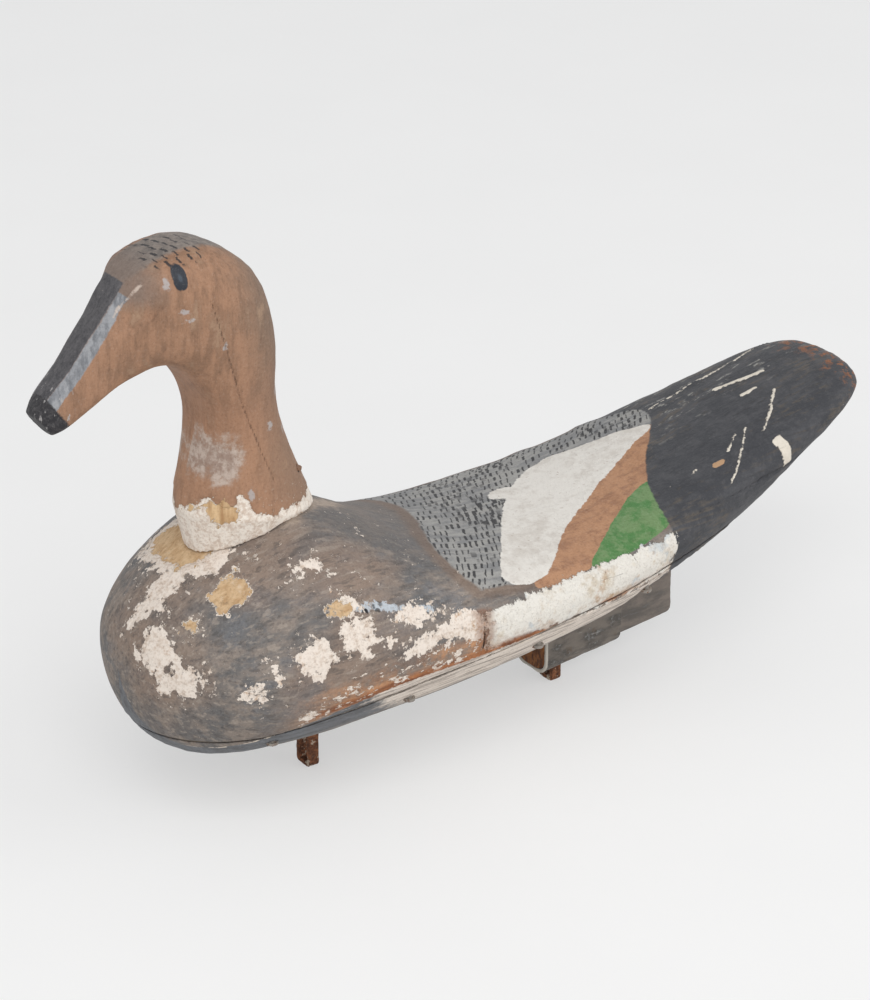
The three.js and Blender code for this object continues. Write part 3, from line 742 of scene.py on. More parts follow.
def hull_finish():
    """The whole paint scheme of the hull, from bare wood up to the last drip."""
    f = Finish("painted_hull")
    behind = f.marked("behind")
    turn = f.marked("turn")
    chine = f.marked("chine")
    tail_field = f.marked("tail")
    wood_field = f.marked("wood")
    gesso_field = f.marked("gesso")
    seam = f.marked("seam")
    fine = f.noise(1.6, 4, 0.65)
    torn = f.noise(5, 5, 0.68)
    patchy = f.noise(28, 4, 0.6)
    cloudy = f.noise(60, 3, 0.55, shift=3)
    brushed = f.noise(4, 4, 0.65, (0.16, 1, 1))
    swept = f.noise(11, 5, 0.7, (0.35, 1, 1), shift=9)
    grain = f.noise(1.7, 3, 0.6, (0.05, 1, 1), shift=2)
    speck = f.cells(3.2)

    # breast and fore back: thin grey-brown and blue-grey paint, swept on
    color = f.blend(paint(138, 127, 118), paint(104, 102, 101), swept.rise(0.40, 0.60))
    color = f.blend(color, paint(112, 114, 118), (patchy * 0.6 + brushed * 0.4).rise(0.52, 0.62) * 0.6)
    color = f.blend(color, paint(142, 120, 104), cloudy.rise(0.48, 0.66) * 0.6)
    color = f.blend(color, paint(84, 78, 75), (brushed * 0.5 + torn * 0.5).rise(0.54, 0.66) * 0.6)
    color = f.blend(color, paint(156, 142, 130), (brushed * 0.4 + fine * 0.6).rise(0.56, 0.66) * 0.4)
    hairs = f.noise(2.4, 3, 0.6, (0.14, 1, 1), shift=44)
    color = f.blend(color, paint(168, 156, 144), hairs.rise(0.56, 0.64) * 0.42)
    color = f.blend(color, paint(70, 67, 66), hairs.rise(0.44, 0.36) * 0.45)
    upper = turn.rise(40, 75) * behind.rise(60, 100)
    color = f.blend(color, paint(98, 94, 92), upper * (1 - cloudy * 0.6) * 0.9)
    lower = chine.rise(26, 4) * behind.rise(20, 60)
    color = f.blend(color, paint(140, 122, 108), lower * 0.6)

    # reddish patch low on the breast
    red = f.inside(f.marked("red") - 1, torn, 12, 5) * (patchy * 0.5 + torn * 0.5).rise(0.38, 0.54)
    red_mix = (torn * 0.5 + brushed * 0.5).rise(0.42, 0.60)
    red_paint = f.blend(paint(206, 150, 106), paint(138, 104, 82), red_mix)
    color = f.blend(color, red_paint, red * behind.rise(40, 84) * 0.9)

    # grey back with its rows of short black strokes
    back = f.inside(f.marked("back"), torn, 2.5, 1.2)
    grey_mix = (brushed * 0.6 + patchy * 0.4).rise(0.42, 0.60)
    grey = f.blend(paint(160, 158, 154), paint(132, 132, 132), grey_mix)
    color = f.blend(color, paint(122, 100, 84), f.inside(f.marked("back") - 7, torn, 4, 3) * 0.55)
    color = f.blend(color, grey, back)
    heavy = f.noise(26, 1, 0.5, shift=21).rise(0.5, 0.62)
    rows = strokes(f, behind, turn, 3.1, 5.5, 1.3, -0.55, torn, 3)
    bold = strokes(f, behind, turn + 2.4, 4.0, 5.5, 2.6, -0.5, torn, 8) * heavy
    worn = (fine * 0.5 + torn * 0.5).rise(0.66, 0.54)
    black_marks = rows.most(bold) * worn * back
    color = f.blend(color, paint(32, 32, 36), black_marks * 0.92)

    # wings
    white_mix = (patchy * 0.5 + torn * 0.5).rise(0.45, 0.62)
    white = f.blend(paint(226, 221, 213), paint(208, 201, 192), white_mix)
    dirty_white = f.blend(white, paint(160, 142, 126), fine.rise(0.60, 0.70) * 0.5)
    brown_mix = (torn * 0.6 + brushed * 0.4).rise(0.44, 0.60)
    brown = f.blend(paint(180, 136, 104), paint(156, 116, 90), brown_mix)
    green_mix = (torn * 0.5 + patchy * 0.5).rise(0.44, 0.58)
    green = f.blend(paint(76, 124, 68), paint(112, 140, 94), green_mix)
    brown_in = f.inside(f.marked("wing_brown"), torn, 1.6)
    white_in = f.inside(f.marked("wing_white"), torn, 2.0)
    green_in = f.inside(f.marked("wing_green"), torn, 1.2)
    color = f.blend(color, brown, brown_in)
    color = f.blend(color, dirty_white, white_in)
    color = f.blend(color, green, green_in)

    # tail: charcoal over long grain, browner where it is rubbed through
    tail = f.inside(tail_field, torn, 1.6, 0.6)
    charcoal = f.blend(paint(58, 59, 63), paint(74, 74, 77), (torn * 0.5 + swept * 0.5).rise(0.44, 0.60))
    charcoal = f.blend(charcoal, paint(46, 47, 51), grain.rise(0.5, 0.72) * 0.7)
    long_patches = f.noise(30, 3, 0.6, (0.4, 1, 1), shift=61)
    rubbed = (grain * 0.35 + torn * 0.2 + long_patches * 0.45).rise(0.54, 0.64)
    charcoal = f.blend(charcoal, paint(104, 94, 82), rubbed * 0.55)
    end_wear = (behind + torn * 34).rise(378, 392) * f.noise(6, 4, 0.7, shift=4).rise(0.50, 0.56)
    charcoal = f.blend(charcoal, paint(136, 88, 58), end_wear)
    streaks = f.noise(3.4, 4, 0.65, (0.07, 1, 1), shift=83).rise(0.56, 0.64) * turn.rise(74, 108)
    charcoal = f.blend(charcoal, paint(158, 156, 150), streaks * torn.rise(0.44, 0.56) * 0.8)
    color = f.blend(color, charcoal, tail)
    # a near-black line along the tail's carved crease: painted shade in the groove
    color = f.blend(color, paint(28, 28, 31), f.inside(f.marked("crease"), fine, 0.9, 0.7) * tail * 0.8)

    # flank: thick cream-white, cracked and stained
    hairy = f.noise(3.2, 5, 0.75, (1, 0.5, 0.35), shift=24)
    flank = f.inside(f.marked("flank"), hairy * 0.6 + torn * 0.4, 18, 0.5)
    cream_mix = (torn * 0.5 + patchy * 0.5).rise(0.48, 0.62)
    cream = f.blend(paint(228, 223, 214), paint(206, 193, 174), cream_mix)
    cream = f.blend(cream, paint(176, 134, 92), f.noise(12, 4, 0.7, shift=33).rise(0.58, 0.68) * 0.55)
    cream = f.blend(cream, paint(186, 196, 202), f.noise(14, 3, 0.6, shift=14).rise(0.56, 0.66) * 0.6)
    cream = f.blend(cream, paint(104, 90, 76), hairy.rise(0.62, 0.70) * 0.7)
    cream = f.blend(cream, paint(240, 234, 222), fine.rise(0.56, 0.66) * 0.5)
    foot_stain = chine.rise(15, 4) * (torn * 0.5 + swept * 0.5).rise(0.46, 0.58)
    cream = f.blend(cream, paint(158, 116, 82), foot_stain * 0.55)
    color = f.blend(color, cream, flank)

    # rust-brown line just above the chine
    over = chine.rise(1.5, 3.5) * (chine + torn * 9).rise(13.5, 9.5) * behind.rise(52, 66)
    over = over * behind.rise(256, 236) * (f.noise(17, 4, 0.65, (0.4, 1, 1), shift=6)
                                         + behind.rise(190, 120) * 0.30).rise(0.48, 0.56)
    rust = f.blend(paint(172, 112, 70), paint(124, 76, 48), brushed.rise(0.42, 0.60))
    color = f.blend(color, rust, over)

    # the band under the chine: blue-grey in front, then worn white with long dark lines
    band = f.inside(chine - behind.rise(50, 90) * 3, fine, 1.6, 0.4)
    blue = f.blend(paint(112, 114, 118), paint(92, 92, 94), brushed.rise(0.4, 0.7))
    pale = f.blend(paint(228, 216, 204), paint(168, 156, 146), grain.rise(0.46, 0.62))
    pale = f.blend(pale, paint(96, 88, 82), grain.rise(0.62, 0.72) * 0.8)
    start = (behind + torn * 40 + chine * 0.8).rise(98, 112)
    under = f.blend(blue, pale, start)
    below = f.blend(paint(120, 114, 108), paint(150, 142, 134), swept.rise(0.4, 0.65))
    under = f.blend(under, below, chine.rise(-20, -34))
    color = f.blend(color, under, band * (1 - tail))
    line = (abs(chine + 0.6) - 0.8 + (fine - 0.5) * 2.4).rise(0.3, -0.3) * torn.rise(0.46, 0.54)
    color = f.blend(color, paint(222, 208, 192), line * (1 - tail) * behind.rise(10, 30))

    # scuffed pale line round the foot of the neck
    scuff = f.inside(f.marked("scuff"), torn, 5, 2.4) * brushed.rise(0.36, 0.52)
    color = f.blend(color, f.blend(paint(196, 178, 160), paint(148, 132, 120), grain), scuff * 0.85)

    # blue-white streak with black dots along it
    streak = f.inside(f.marked("streak"), torn, 6, 0.4) * hairy.rise(0.40, 0.50)
    color = f.blend(color, paint(186, 192, 198), streak)
    dots = f.inside(f.marked("streak") - 0.5, fine, 1.5) * behind.rise(104, 84) * speck.rise(0.52, 0.40)
    color = f.blend(color, paint(30, 30, 34), dots)

    # flakes: paint gone down to gesso, and gesso gone down to wood
    breast_zone = behind.rise(150, 128) * chine.rise(1, 5)
    cluster = f.noise(15, 3, 0.6, shift=31).rise(0.50, 0.62)
    beside = gesso_field.rise(15, 1)
    chip = f.noise(3.6, 5, 0.75, shift=17) + cluster * 0.08 + beside * 0.09
    chip = chip.rise(0.70, 0.715) * breast_zone
    lower_chip = f.noise(3.4, 4, 0.72, (0.6, 1, 1), shift=12) + chine.rise(26, 6) * 0.12
    lower_chip = lower_chip.rise(0.66, 0.68)
    lower_chip = lower_chip * behind.rise(48, 70) * behind.rise(152, 140) * chine.rise(3, 6)
    tail_chip = f.noise(1.6, 3, 0.6, shift=41).rise(0.76, 0.78) * tail
    tears = f.noise(13, 5, 0.7, shift=66)
    gesso_in = f.inside(gesso_field, tears * 0.6 + torn * 0.4, 24, 0.3)
    holes = f.noise(3, 4, 0.7, shift=51).rise(0.62, 0.64) * 0.7
    gesso_in = (gesso_in * (1 - holes * gesso_field.rise(-5, -1))).most(chip).most(lower_chip)
    specks = fine * 0.5 + torn * 0.5
    gesso_color = f.blend(paint(232, 220, 208), paint(206, 188, 172), specks.rise(0.45, 0.62))
    gesso_color = f.blend(gesso_color, paint(150, 128, 108), specks.rise(0.58, 0.66) * 0.6)
    gesso_stain = patchy.rise(0.56, 0.64) * fine.rise(0.5, 0.6)
    gesso_color = f.blend(gesso_color, paint(186, 146, 108), gesso_stain * 0.6)
    color = f.blend(color, gesso_color, gesso_in)
    color = f.blend(color, gesso_color, tail_chip)
    halo = f.inside(wood_field - 0.6, tears * 0.5 + torn * 0.5, 19, 0.3)
    color = f.blend(color, paint(232, 220, 206), halo)
    wood_in = f.inside(wood_field, tears * 0.5 + torn * 0.5, 16, 0.25)
    timber, wood_grain = bare_wood_color(f, paint(210, 180, 142), paint(182, 146, 106))
    timber = f.blend(timber, paint(222, 206, 184), (torn * 0.5 + patchy * 0.5).rise(0.52, 0.62) * 0.6)
    color = f.blend(color, timber, wood_in)

    # drips, spots, cracks and dirt in the joint
    drip = f.inside(f.marked("drip"), fine * 0.5 + torn * 0.5, 2.6)
    color = f.blend(color, f.blend(paint(238, 230, 216), paint(204, 194, 178), torn), drip)
    color = f.blend(color, paint(182, 146, 112), f.inside(f.marked("tan"), fine, 0.8))
    crack = f.inside(f.marked("crack"), fine, 0.7, 0.25)
    stain = f.inside(f.marked("crack") - 4, torn, 5, 2) * 0.55
    color = f.blend(color, paint(138, 90, 58), stain)
    color = f.blend(color, paint(40, 28, 22), crack)
    joint = (abs(seam) - 0.35 + (fine - 0.5) * 0.5).rise(0.25, -0.25)
    color = f.blend(color, paint(58, 52, 46), joint * 0.85)

    # long grain lines and fine grime over everything but the raw flakes
    raw = gesso_in.most(wood_in)
    color = f.blend(color, paint(58, 52, 48), grain.rise(0.66, 0.78) * (1 - raw) * 0.35)
    color = f.blend(color, paint(70, 60, 52), (f.noise(0.9, 2, 0.5)).rise(0.66, 0.76) * 0.22)
    color = f.aged(color, 0.40 - white_in * 0.3 - tail * 0.25)
    height = brushed * 0.30 + fine * 0.22 + torn * 0.16 + grain * (tail * 0.22 + band * 0.2 + 0.05)
    height = height + flank * (fine * 0.35 + 0.15) + white_in * 0.10 + drip * 0.25
    height = height + brown_in * 0.05 + green_in * 0.05 + black_marks * 0.04
    height = height - gesso_in * 0.22 - wood_in * (0.3 - wood_grain * 0.12) - crack * 0.9 - joint * 0.4
    roughness = 0.58 + torn * 0.14 + raw * 0.16 + flank * 0.08 - tail * 0.10 - green_in * 0.08
    return f.done(color, roughness, height)


def bedding_finish():
    """Dirty gesso squeezed into the joint."""
    f = Finish("bedding_gesso")
    lumps = f.noise(2, 4, 0.6)
    grime = f.noise(14, 3, 0.6, (0.3, 1, 1))
    color = f.blend(paint(150, 138, 124), paint(70, 62, 54), grime.rise(0.4, 0.62))
    color = f.blend(color, paint(196, 184, 168), lumps.rise(0.6, 0.7) * 0.7)
    return f.done(color, lumps * 0.1 + 0.8, lumps * 0.3)


# ---------------------------------------------------------------- head and neck
# A place on the head's side is (millimetres behind the bill's tip, millimetres below the crown).

HEAD_LOW, HEAD_HIGH = (np.array(corner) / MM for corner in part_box("head_and_neck"))
BILL_TIP = (0, 52)
BROW = (38, 9)
CAP_MIDDLE = 61                   # along the head, with half its length and width
CAP_SIZE = (27, 9.5)
EYE = ((58.4, 8.6), (2.9, 4.6))   # middle, half width and half height of a squared oval
FOOT_EDGE = 120                   # how far down the flaked rim of the foot starts
FOOT_PEAKS = [(72, 11, 7), (84, 11, 4), (131, 5, 5)]   # where it climbs: place, rise, width
FOOT_WOOD = ((75, 115), (7, 5))
NECK_WORN = ((77, 93), (11, 13))
HEAD_CRACK = [(70, 20), (84, 67), (99, 106)]
CHEEK_LINE = [(44, 10), (34, 22)]
RIM_CRACK = [(117, 78), (127, 95), (131, 110)]
# Dabs of grey paint: middle, half length and half height.
DABS = [(52.5, 10, 1, 2), (59.5, 22, 1.8, 1), (60.5, 26, 2.6, 0.8), (76, 41, 0.9, 1.7),
        (99, 82, 1.5, 2), (108, 88, 0.8, 1.8), (88, 109, 1.1, 1.8), (104, 68, 0.5, 1.8),
        (23, 42, 1, 0.6)]


def head_side(places):
    return np.column_stack([places[:, 0] - HEAD_LOW[0], HEAD_HIGH[2] - places[:, 2]])


def foot_flake(side_view):
    """Distance to the flaked rim of the foot: a level edge with a few peaks."""
    edge = FOOT_EDGE - sum(rise * np.exp(-((side_view[:, 0] - place) / width) ** 2)
                           for place, rise, width in FOOT_PEAKS)
    return edge - side_view[:, 1]


def bill_lines(places):
    """Along and above the bill: how far from its tip, and how far below its top line."""
    flat = head_side(places) * np.array([1, -1])
    tip = np.array(BILL_TIP) * np.array([1, -1])
    brow = np.array(BROW) * np.array([1, -1])
    along = (brow - tip) / np.linalg.norm(brow - tip)
    normal = np.array([-along[1], along[0]])
    t = (flat - tip) @ along
    n = (flat - tip) @ normal
    middle = np.abs(places[:, 1]) < 1.6
    steps = np.arange(-6, 72, 3.0)
    crest = []
    for step in steps:
        near = middle & (np.abs(t - step) < 2.5) & (flat[:, 1] > -105)
        crest.append(n[near].max() if near.any() else 0.0)
    return t, np.interp(t, steps, crest) - n, normal


def carve_head(mesh):
    """Cuts the bill's two bevels and its flat top, then the knife's low facets."""
    places = vertex_places(mesh)
    side_view = head_side(places)
    t, down, normal = bill_lines(places)
    on_bill = smooth_step(66, 48, t) * (side_view[:, 0] < 58) * (side_view[:, 1] < 70)
    side = np.abs(places[:, 1])
    too_far = (side - 5.2) * 0.80 - down * 0.60
    cut = np.maximum(too_far, 0) * on_bill * (down < 14)
    places[:, 1] -= np.sign(places[:, 1]) * cut * 0.80
    places[:, 0] -= normal[0] * cut * 0.60
    places[:, 2] -= normal[1] * cut * 0.60
    move_vertices(mesh, places)
    relief = 0.35 * rough_noise(places * np.array([1, 1, 0.6]), 19, 71, 2)
    relief += 0.10 * rough_noise(places, 5, 77, 2)
    side_view = head_side(places)
    left = places[:, 1] < 0
    crack = line_distance(side_view, np.array(HEAD_CRACK, float), 0.4)
    relief -= 0.3 * smooth_step(1.1, -0.1, crack) * left
    ragged = rough_noise(places, 4, 83, 3)
    relief -= 0.35 * smooth_step(0.6, -0.4, foot_flake(side_view) + 2 * ragged)
    relief += 0.3 * smooth_step(0.8, -0.6, oval_distance(side_view, *EYE, 2.6))
    push(mesh, relief)


def head_marks(places):
    """Every painted or worn zone of the head as a distance field, by name."""
    side_view = head_side(places)
    top_view = np.column_stack([side_view[:, 0], places[:, 1]])
    t, below, _ = bill_lines(places)
    side = np.abs(places[:, 1])
    on_bill = (side_view[:, 0] < 44) & (side_view[:, 1] < 70)
    far = np.full(len(places), 30.0)
    top = np.maximum(side - 4.6 - 0.04 * t, below - 3.0)
    stripe = np.maximum(np.maximum(3.0 - side - below * 0.2, below - 5.0), t - 54)
    right = np.where(places[:, 1] > 0, 4.0, 0.0)
    cap = oval_distance(top_view, (CAP_MIDDLE, 0), CAP_SIZE, 2.6)
    dabs = [oval_distance(side_view, dab[:2], dab[2:]) for dab in DABS]
    return {
        "back": side_view[:, 0],
        "down": side_view[:, 1],
        "cap": np.where(side_view[:, 1] < 27, cap, far),
        "bill": np.where(on_bill, np.maximum(top, t - 58), far),
        "stripe": np.where(on_bill, stripe, far),
        "tip": t + below * 0.25,
        "eye": oval_distance(side_view, *EYE, 2.6),
        "flake": foot_flake(side_view) + right * 0.3,
        "foot_wood": oval_distance(side_view, *FOOT_WOOD) + right,
        "worn": oval_distance(side_view, *NECK_WORN) + right,
        "crack": line_distance(side_view, np.array(HEAD_CRACK, float), 0.4) + right * 8,
        "rim_crack": line_distance(side_view, np.array(RIM_CRACK, float), 1.0),
        "cheek": line_distance(side_view, np.array(CHEEK_LINE, float), 0.6),
        "dab": np.min(dabs, axis=0) + right * 8,
        "nape": side_view[:, 0] - side_view[:, 1] * 0.15,
    }


def head_finish():
    """Chestnut head, grey cap, dark bill with a pale bevel, and a flaking foot."""
    f = Finish("painted_head")
    fine = f.noise(1.4, 4, 0.65)
    torn = f.noise(4.5, 5, 0.68)
    patchy = f.noise(24, 4, 0.6)
    upright = f.noise(3.4, 4, 0.65, (1, 1, 0.2))
    grain = f.noise(1.4, 3, 0.6, (1, 1, 0.06), shift=3)
    back = f.marked("back")
    down = f.marked("down")
    chestnut_mix = (upright * 0.6 + patchy * 0.4).rise(0.42, 0.60)
    color = f.blend(paint(162, 124, 98), paint(138, 106, 84), chestnut_mix)
    color = f.blend(color, paint(122, 104, 90), (f.marked("nape") + patchy * 16).rise(80, 104) * 0.75)
    color = f.blend(color, paint(120, 90, 74), (torn * 0.6 + upright * 0.4).rise(0.56, 0.7) * 0.45)
    color = f.blend(color, paint(176, 146, 120), patchy.rise(0.56, 0.66) * upright.rise(0.4, 0.6) * 0.5)
    throat = (down - patchy * 22).rise(33, 65) * (down - patchy * 16).rise(87, 69)
    color = f.blend(color, paint(132, 94, 76), throat * 0.15)
    color = f.blend(color, paint(182, 138, 108), down.rise(48, 80) * 0.25)

    worn = f.inside(f.marked("worn") + 3, patchy * 0.5 + torn * 0.5, 16, 3.0)
    worn_color = f.blend(paint(190, 174, 162), paint(152, 132, 120), torn.rise(0.4, 0.6))
    color = f.blend(color, worn_color, worn * 0.9)

    cap = f.inside(f.marked("cap"), torn, 1.8, 1.4)
    cap_mix = (torn * 0.5 + upright * 0.5).rise(0.4, 0.65)
    cap_color = f.blend(paint(136, 126, 118), paint(104, 98, 94), cap_mix)
    color = f.blend(color, cap_color, cap)
    brow = (back + patchy * 6).rise(60, 46) * down.rise(22, 14)
    color = f.blend(color, paint(128, 112, 102), brow * 0.8)
    rows = strokes(f, back, f.axis("Y") * 0.8 - down * 0.55, 4.6, 3.6, 1.1, 0.25, fine, 5)
    crown = down.rise(5.5, 4.5) * back.rise(47, 51) * back.rise(77, 74)
    color = f.blend(color, paint(38, 38, 42), rows * crown * 0.92)

    bill = f.inside(f.marked("bill"), fine, 0.5, 0.3)
    slate = f.blend(paint(88, 86, 88), paint(66, 65, 68), (upright * 0.5 + fine * 0.5).rise(0.42, 0.62))
    color = f.blend(color, slate, bill)
    stripe = f.inside(f.marked("stripe"), fine, 0.7, 0.3) * (1 - bill)
    pale = f.blend(paint(154, 155, 158), paint(116, 118, 122), upright.rise(0.4, 0.66))
    color = f.blend(color, pale, stripe)
    tip = f.inside(f.marked("tip") - 4.0, torn, 1.6, 0.5)
    black = f.blend(paint(46, 45, 48), paint(70, 68, 70), fine.rise(0.45, 0.65))
    color = f.blend(color, black, tip)
    scratch = f.noise(2.4, 3, 0.7, (1, 1, 0.35), shift=8).rise(0.62, 0.65)
    color = f.blend(color, paint(176, 172, 170), scratch * f.inside(f.marked("tip") - 13, None, 1, 3) * 0.7)

    eye = f.inside(f.marked("eye"), fine, 0.35, 0.2)
    glint = f.inside(f.marked("eye") + 2.2, torn, 0.8, 0.6)
    color = f.blend(color, f.blend(paint(40, 44, 52), paint(72, 80, 90), glint), eye)
    cheek = f.inside(f.marked("cheek"), torn, 1.4, 0.3) * 0.7
    color = f.blend(color, paint(214, 196, 182), cheek)
    dab = f.inside(f.marked("dab"), torn, 3.0, 0.4)
    color = f.blend(color, paint(176, 170, 168), dab * 0.8)

    chips = (f.noise(1.8, 3, 0.65, shift=19)).rise(0.755, 0.775)
    edge_wear = (down - torn * 26).rise(95, 107) * fine.rise(0.60, 0.64)
    flake = f.inside(f.marked("flake"), torn * 0.7 + patchy * 0.3, 8.0, 0.3)
    rim = f.inside(f.marked("rim_crack"), torn, 1.6, 0.25)
    flake = flake.most(edge_wear * 0.8).most(chips).most(rim)
    gesso = f.blend(paint(236, 226, 214), paint(208, 190, 174), (fine * 0.5 + torn * 0.5).rise(0.45, 0.6))
    color = f.blend(color, gesso, flake)
    wood_in = f.inside(f.marked("foot_wood"), torn * 0.5 + patchy * 0.5, 14, 0.3)
    timber, wood_grain = bare_wood_color(f, paint(216, 184, 142), paint(174, 136, 96), (1, 1, 0.12))
    color = f.blend(color, timber, wood_in)
    crack = f.inside(f.marked("crack"), fine, 0.5, 0.3)
    color = f.blend(color, paint(104, 80, 66), crack * 0.45)
    color = f.blend(color, paint(72, 54, 46), f.noise(0.9, 2, 0.5).rise(0.66, 0.76) * 0.3 * (1 - bill))
    color = f.aged(color, 0.3)
    height = upright * 0.26 + fine * 0.20 + grain * 0.12 + eye * 0.15 + stripe * 0.05
    height = height - flake * 0.22 - wood_in * (0.25 - wood_grain * 0.1) - crack * 0.5
    roughness = 0.56 + torn * 0.16 + flake * 0.16 - bill * 0.06 - eye * 0.28
    return f.done(color, roughness, height)


# ---------------------------------------------------------------- the smaller pieces

def gesso_finish():
    f = Finish("flaking_gesso")
    lumps = f.noise(3, 5, 0.65)
    fine = f.noise(0.9, 3, 0.6)
    color = f.blend(paint(236, 228, 216), paint(206, 186, 166), lumps.rise(0.45, 0.65))
    color = f.blend(color, paint(150, 120, 96), fine.rise(0.62, 0.74) * 0.6)
    color = f.blend(color, paint(96, 80, 68), f.noise(9, 3, 0.6, shift=4).rise(0.62, 0.7) * 0.7)
    return f.done(color, lumps * 0.1 + 0.8, lumps * 0.4 + fine * 0.2)


def keel_finish():
    """Blue-grey paint over sawn pine, brown where it has gone."""
    f = Finish("painted_keel")
    grain = f.noise(1.8, 4, 0.65, (0.06, 1, 1))
    worn = f.noise(7, 5, 0.68, (0.4, 1, 1))
    fine = f.noise(1.2, 3, 0.6)
    color = f.blend(paint(130, 120, 112), paint(100, 95, 90), worn.rise(0.38, 0.62))
    color = f.blend(color, paint(150, 152, 154), (grain * 0.6 + worn * 0.4).rise(0.58, 0.66) * 0.6)
    front = f.axis("X").rise(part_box("keel_bar")[0].x / MM + 0.9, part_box("keel_bar")[0].x / MM + 0.4)
    rings = f.noise(2.4, 4, 0.7, (1, 1, 0.35))
    core = f.blend(paint(150, 98, 58), paint(92, 58, 38), rings.rise(0.42, 0.6))
    color = f.blend(color, core, (f.noise(2, 4, 0.6, shift=6) + front * 0.6).rise(0.78, 0.84))
    color = f.blend(color, paint(52, 46, 42), grain.rise(0.62, 0.74) * 0.6)
    return f.done(color, worn * 0.15 + 0.62, grain * 0.35 + fine * 0.12)


def lead_finish():
    """Dull beaten sheet lead, grey-blue with pale bloom and scratches."""
    f = Finish("beaten_lead")
    beaten = f.noise(5, 3, 0.6, (0.4, 1, 1))
    fine = f.noise(1.2, 4, 0.65)
    scratch = f.noise(1.1, 3, 0.6, (0.08, 1, 1), shift=7)
    color = f.blend(paint(124, 116, 108), paint(88, 84, 80), beaten.rise(0.38, 0.64))
    color = f.blend(color, paint(152, 152, 150), (fine * 0.5 + beaten * 0.5).rise(0.55, 0.64) * 0.6)
    color = f.blend(color, paint(166, 164, 160), scratch.rise(0.64, 0.7) * 0.6)
    color = f.blend(color, paint(96, 78, 62), f.noise(9, 3, 0.6, shift=9).rise(0.6, 0.68) * 0.45)
    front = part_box("keel_sheath")[0].x / MM
    color = f.blend(color, paint(196, 190, 180), f.axis("X").rise(front + 1.4, front + 0.8))
    roughness = beaten * 0.2 + 0.42
    metal = 0.35 - fine.rise(0.45, 0.6) * 0.2
    height = beaten * 0.4 + fine * 0.12 - scratch.rise(0.64, 0.7) * 0.15
    return f.done(color, roughness, height, metallic=metal)


def rust_finish():
    f = Finish("rusty_iron")
    scale = f.noise(2.4, 5, 0.7)
    fine = f.noise(0.7, 3, 0.6)
    color = f.blend(paint(96, 62, 46), paint(142, 92, 62), scale.rise(0.42, 0.62))
    color = f.blend(color, paint(58, 44, 40), fine.rise(0.55, 0.68) * 0.7)
    flecks = f.noise(3.2, 4, 0.65, shift=11).rise(0.57, 0.60)
    color = f.blend(color, paint(206, 190, 170), flecks * 0.8)
    metal = 0.3 - scale.rise(0.4, 0.55) * 0.25
    return f.done(color, fine * 0.15 + 0.72, scale * 0.5 + fine * 0.2, metallic=metal)


def painted_nail_finish(name, light, dark):
    """Nail and tack heads under the same worn paint, with rust coming through."""
    f = Finish(name)
    flaked = f.noise(1.6, 4, 0.7)
    color = f.blend(light, dark, f.noise(6, 2, 0.5))
    color = f.blend(color, paint(110, 74, 52), flaked.rise(0.56, 0.62) * 0.8)
    return f.done(color, flaked * 0.1 + 0.68, flaked * 0.3)


def dowel_finish():
    f = Finish("bare_dowel")
    color, grain = bare_wood_color(f, paint(196, 160, 116), paint(150, 112, 76), (1, 1, 0.1))
    return f.done(color, grain * 0.1 + 0.7, grain * 0.2)


def build_neck_fillet():
    """Gesso smeared round the foot of the neck: it tapers into the hull and is uneven in height."""
    mesh = remeshed("neck_putty", 0.45)
    relax(mesh, 8)
    places = vertex_places(mesh)
    hull = search_tree(HULL_NODES)
    ground = np.array([height_under(hull, x, y) for x, y in places[:, :2] * MM]) / MM
    lift = np.clip(places[:, 2] - ground, 0, 8)
    uneven = rough_noise(places * np.array([1, 1, 0.1]), 5, 131, 3)
    low, high = (np.array(corner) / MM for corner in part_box("neck_putty"))
    across = places[:, :2] - (low + high)[:2] / 2
    reach = np.linalg.norm(across, axis=1, keepdims=True)
    drawn_in = 2.3 + np.clip(lift / 4, 0, 1) * (1.1 + 0.5 * uneven)
    places[:, :2] -= across / reach * drawn_in[:, None]
    places[:, 2] -= 2.6 - np.clip(lift / 3, 0, 1) * 2.0 + lift * np.clip(0.40 + 0.25 * uneven, 0, 0.8)
    move_vertices(mesh, places)
    push(mesh, 0.28 * rough_noise(places, 2.4, 91, 3))
    mesh.materials.append(gesso_finish())
    add_piece("neck_fillet", mesh, "gesso", "neck_putty")


def textured_piece(name, node, slot, grain, relief, size, seed, rounds, finish, stretch=(1, 1, 1)):
    """A node's shape in fine faces, eased and roughened, but no larger than the node."""
    mesh = remeshed(node, grain)
    relax(mesh, rounds)
    places = vertex_places(mesh)
    push(mesh, relief * rough_noise(places * np.array(stretch), size, seed, 3))
    low, high = (np.array(corner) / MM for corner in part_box(node))
    move_vertices(mesh, np.clip(vertex_places(mesh), low, high))
    mesh.materials.append(finish)
    add_piece(name, mesh, slot, node)


# ---------------------------------------------------------------- assembly

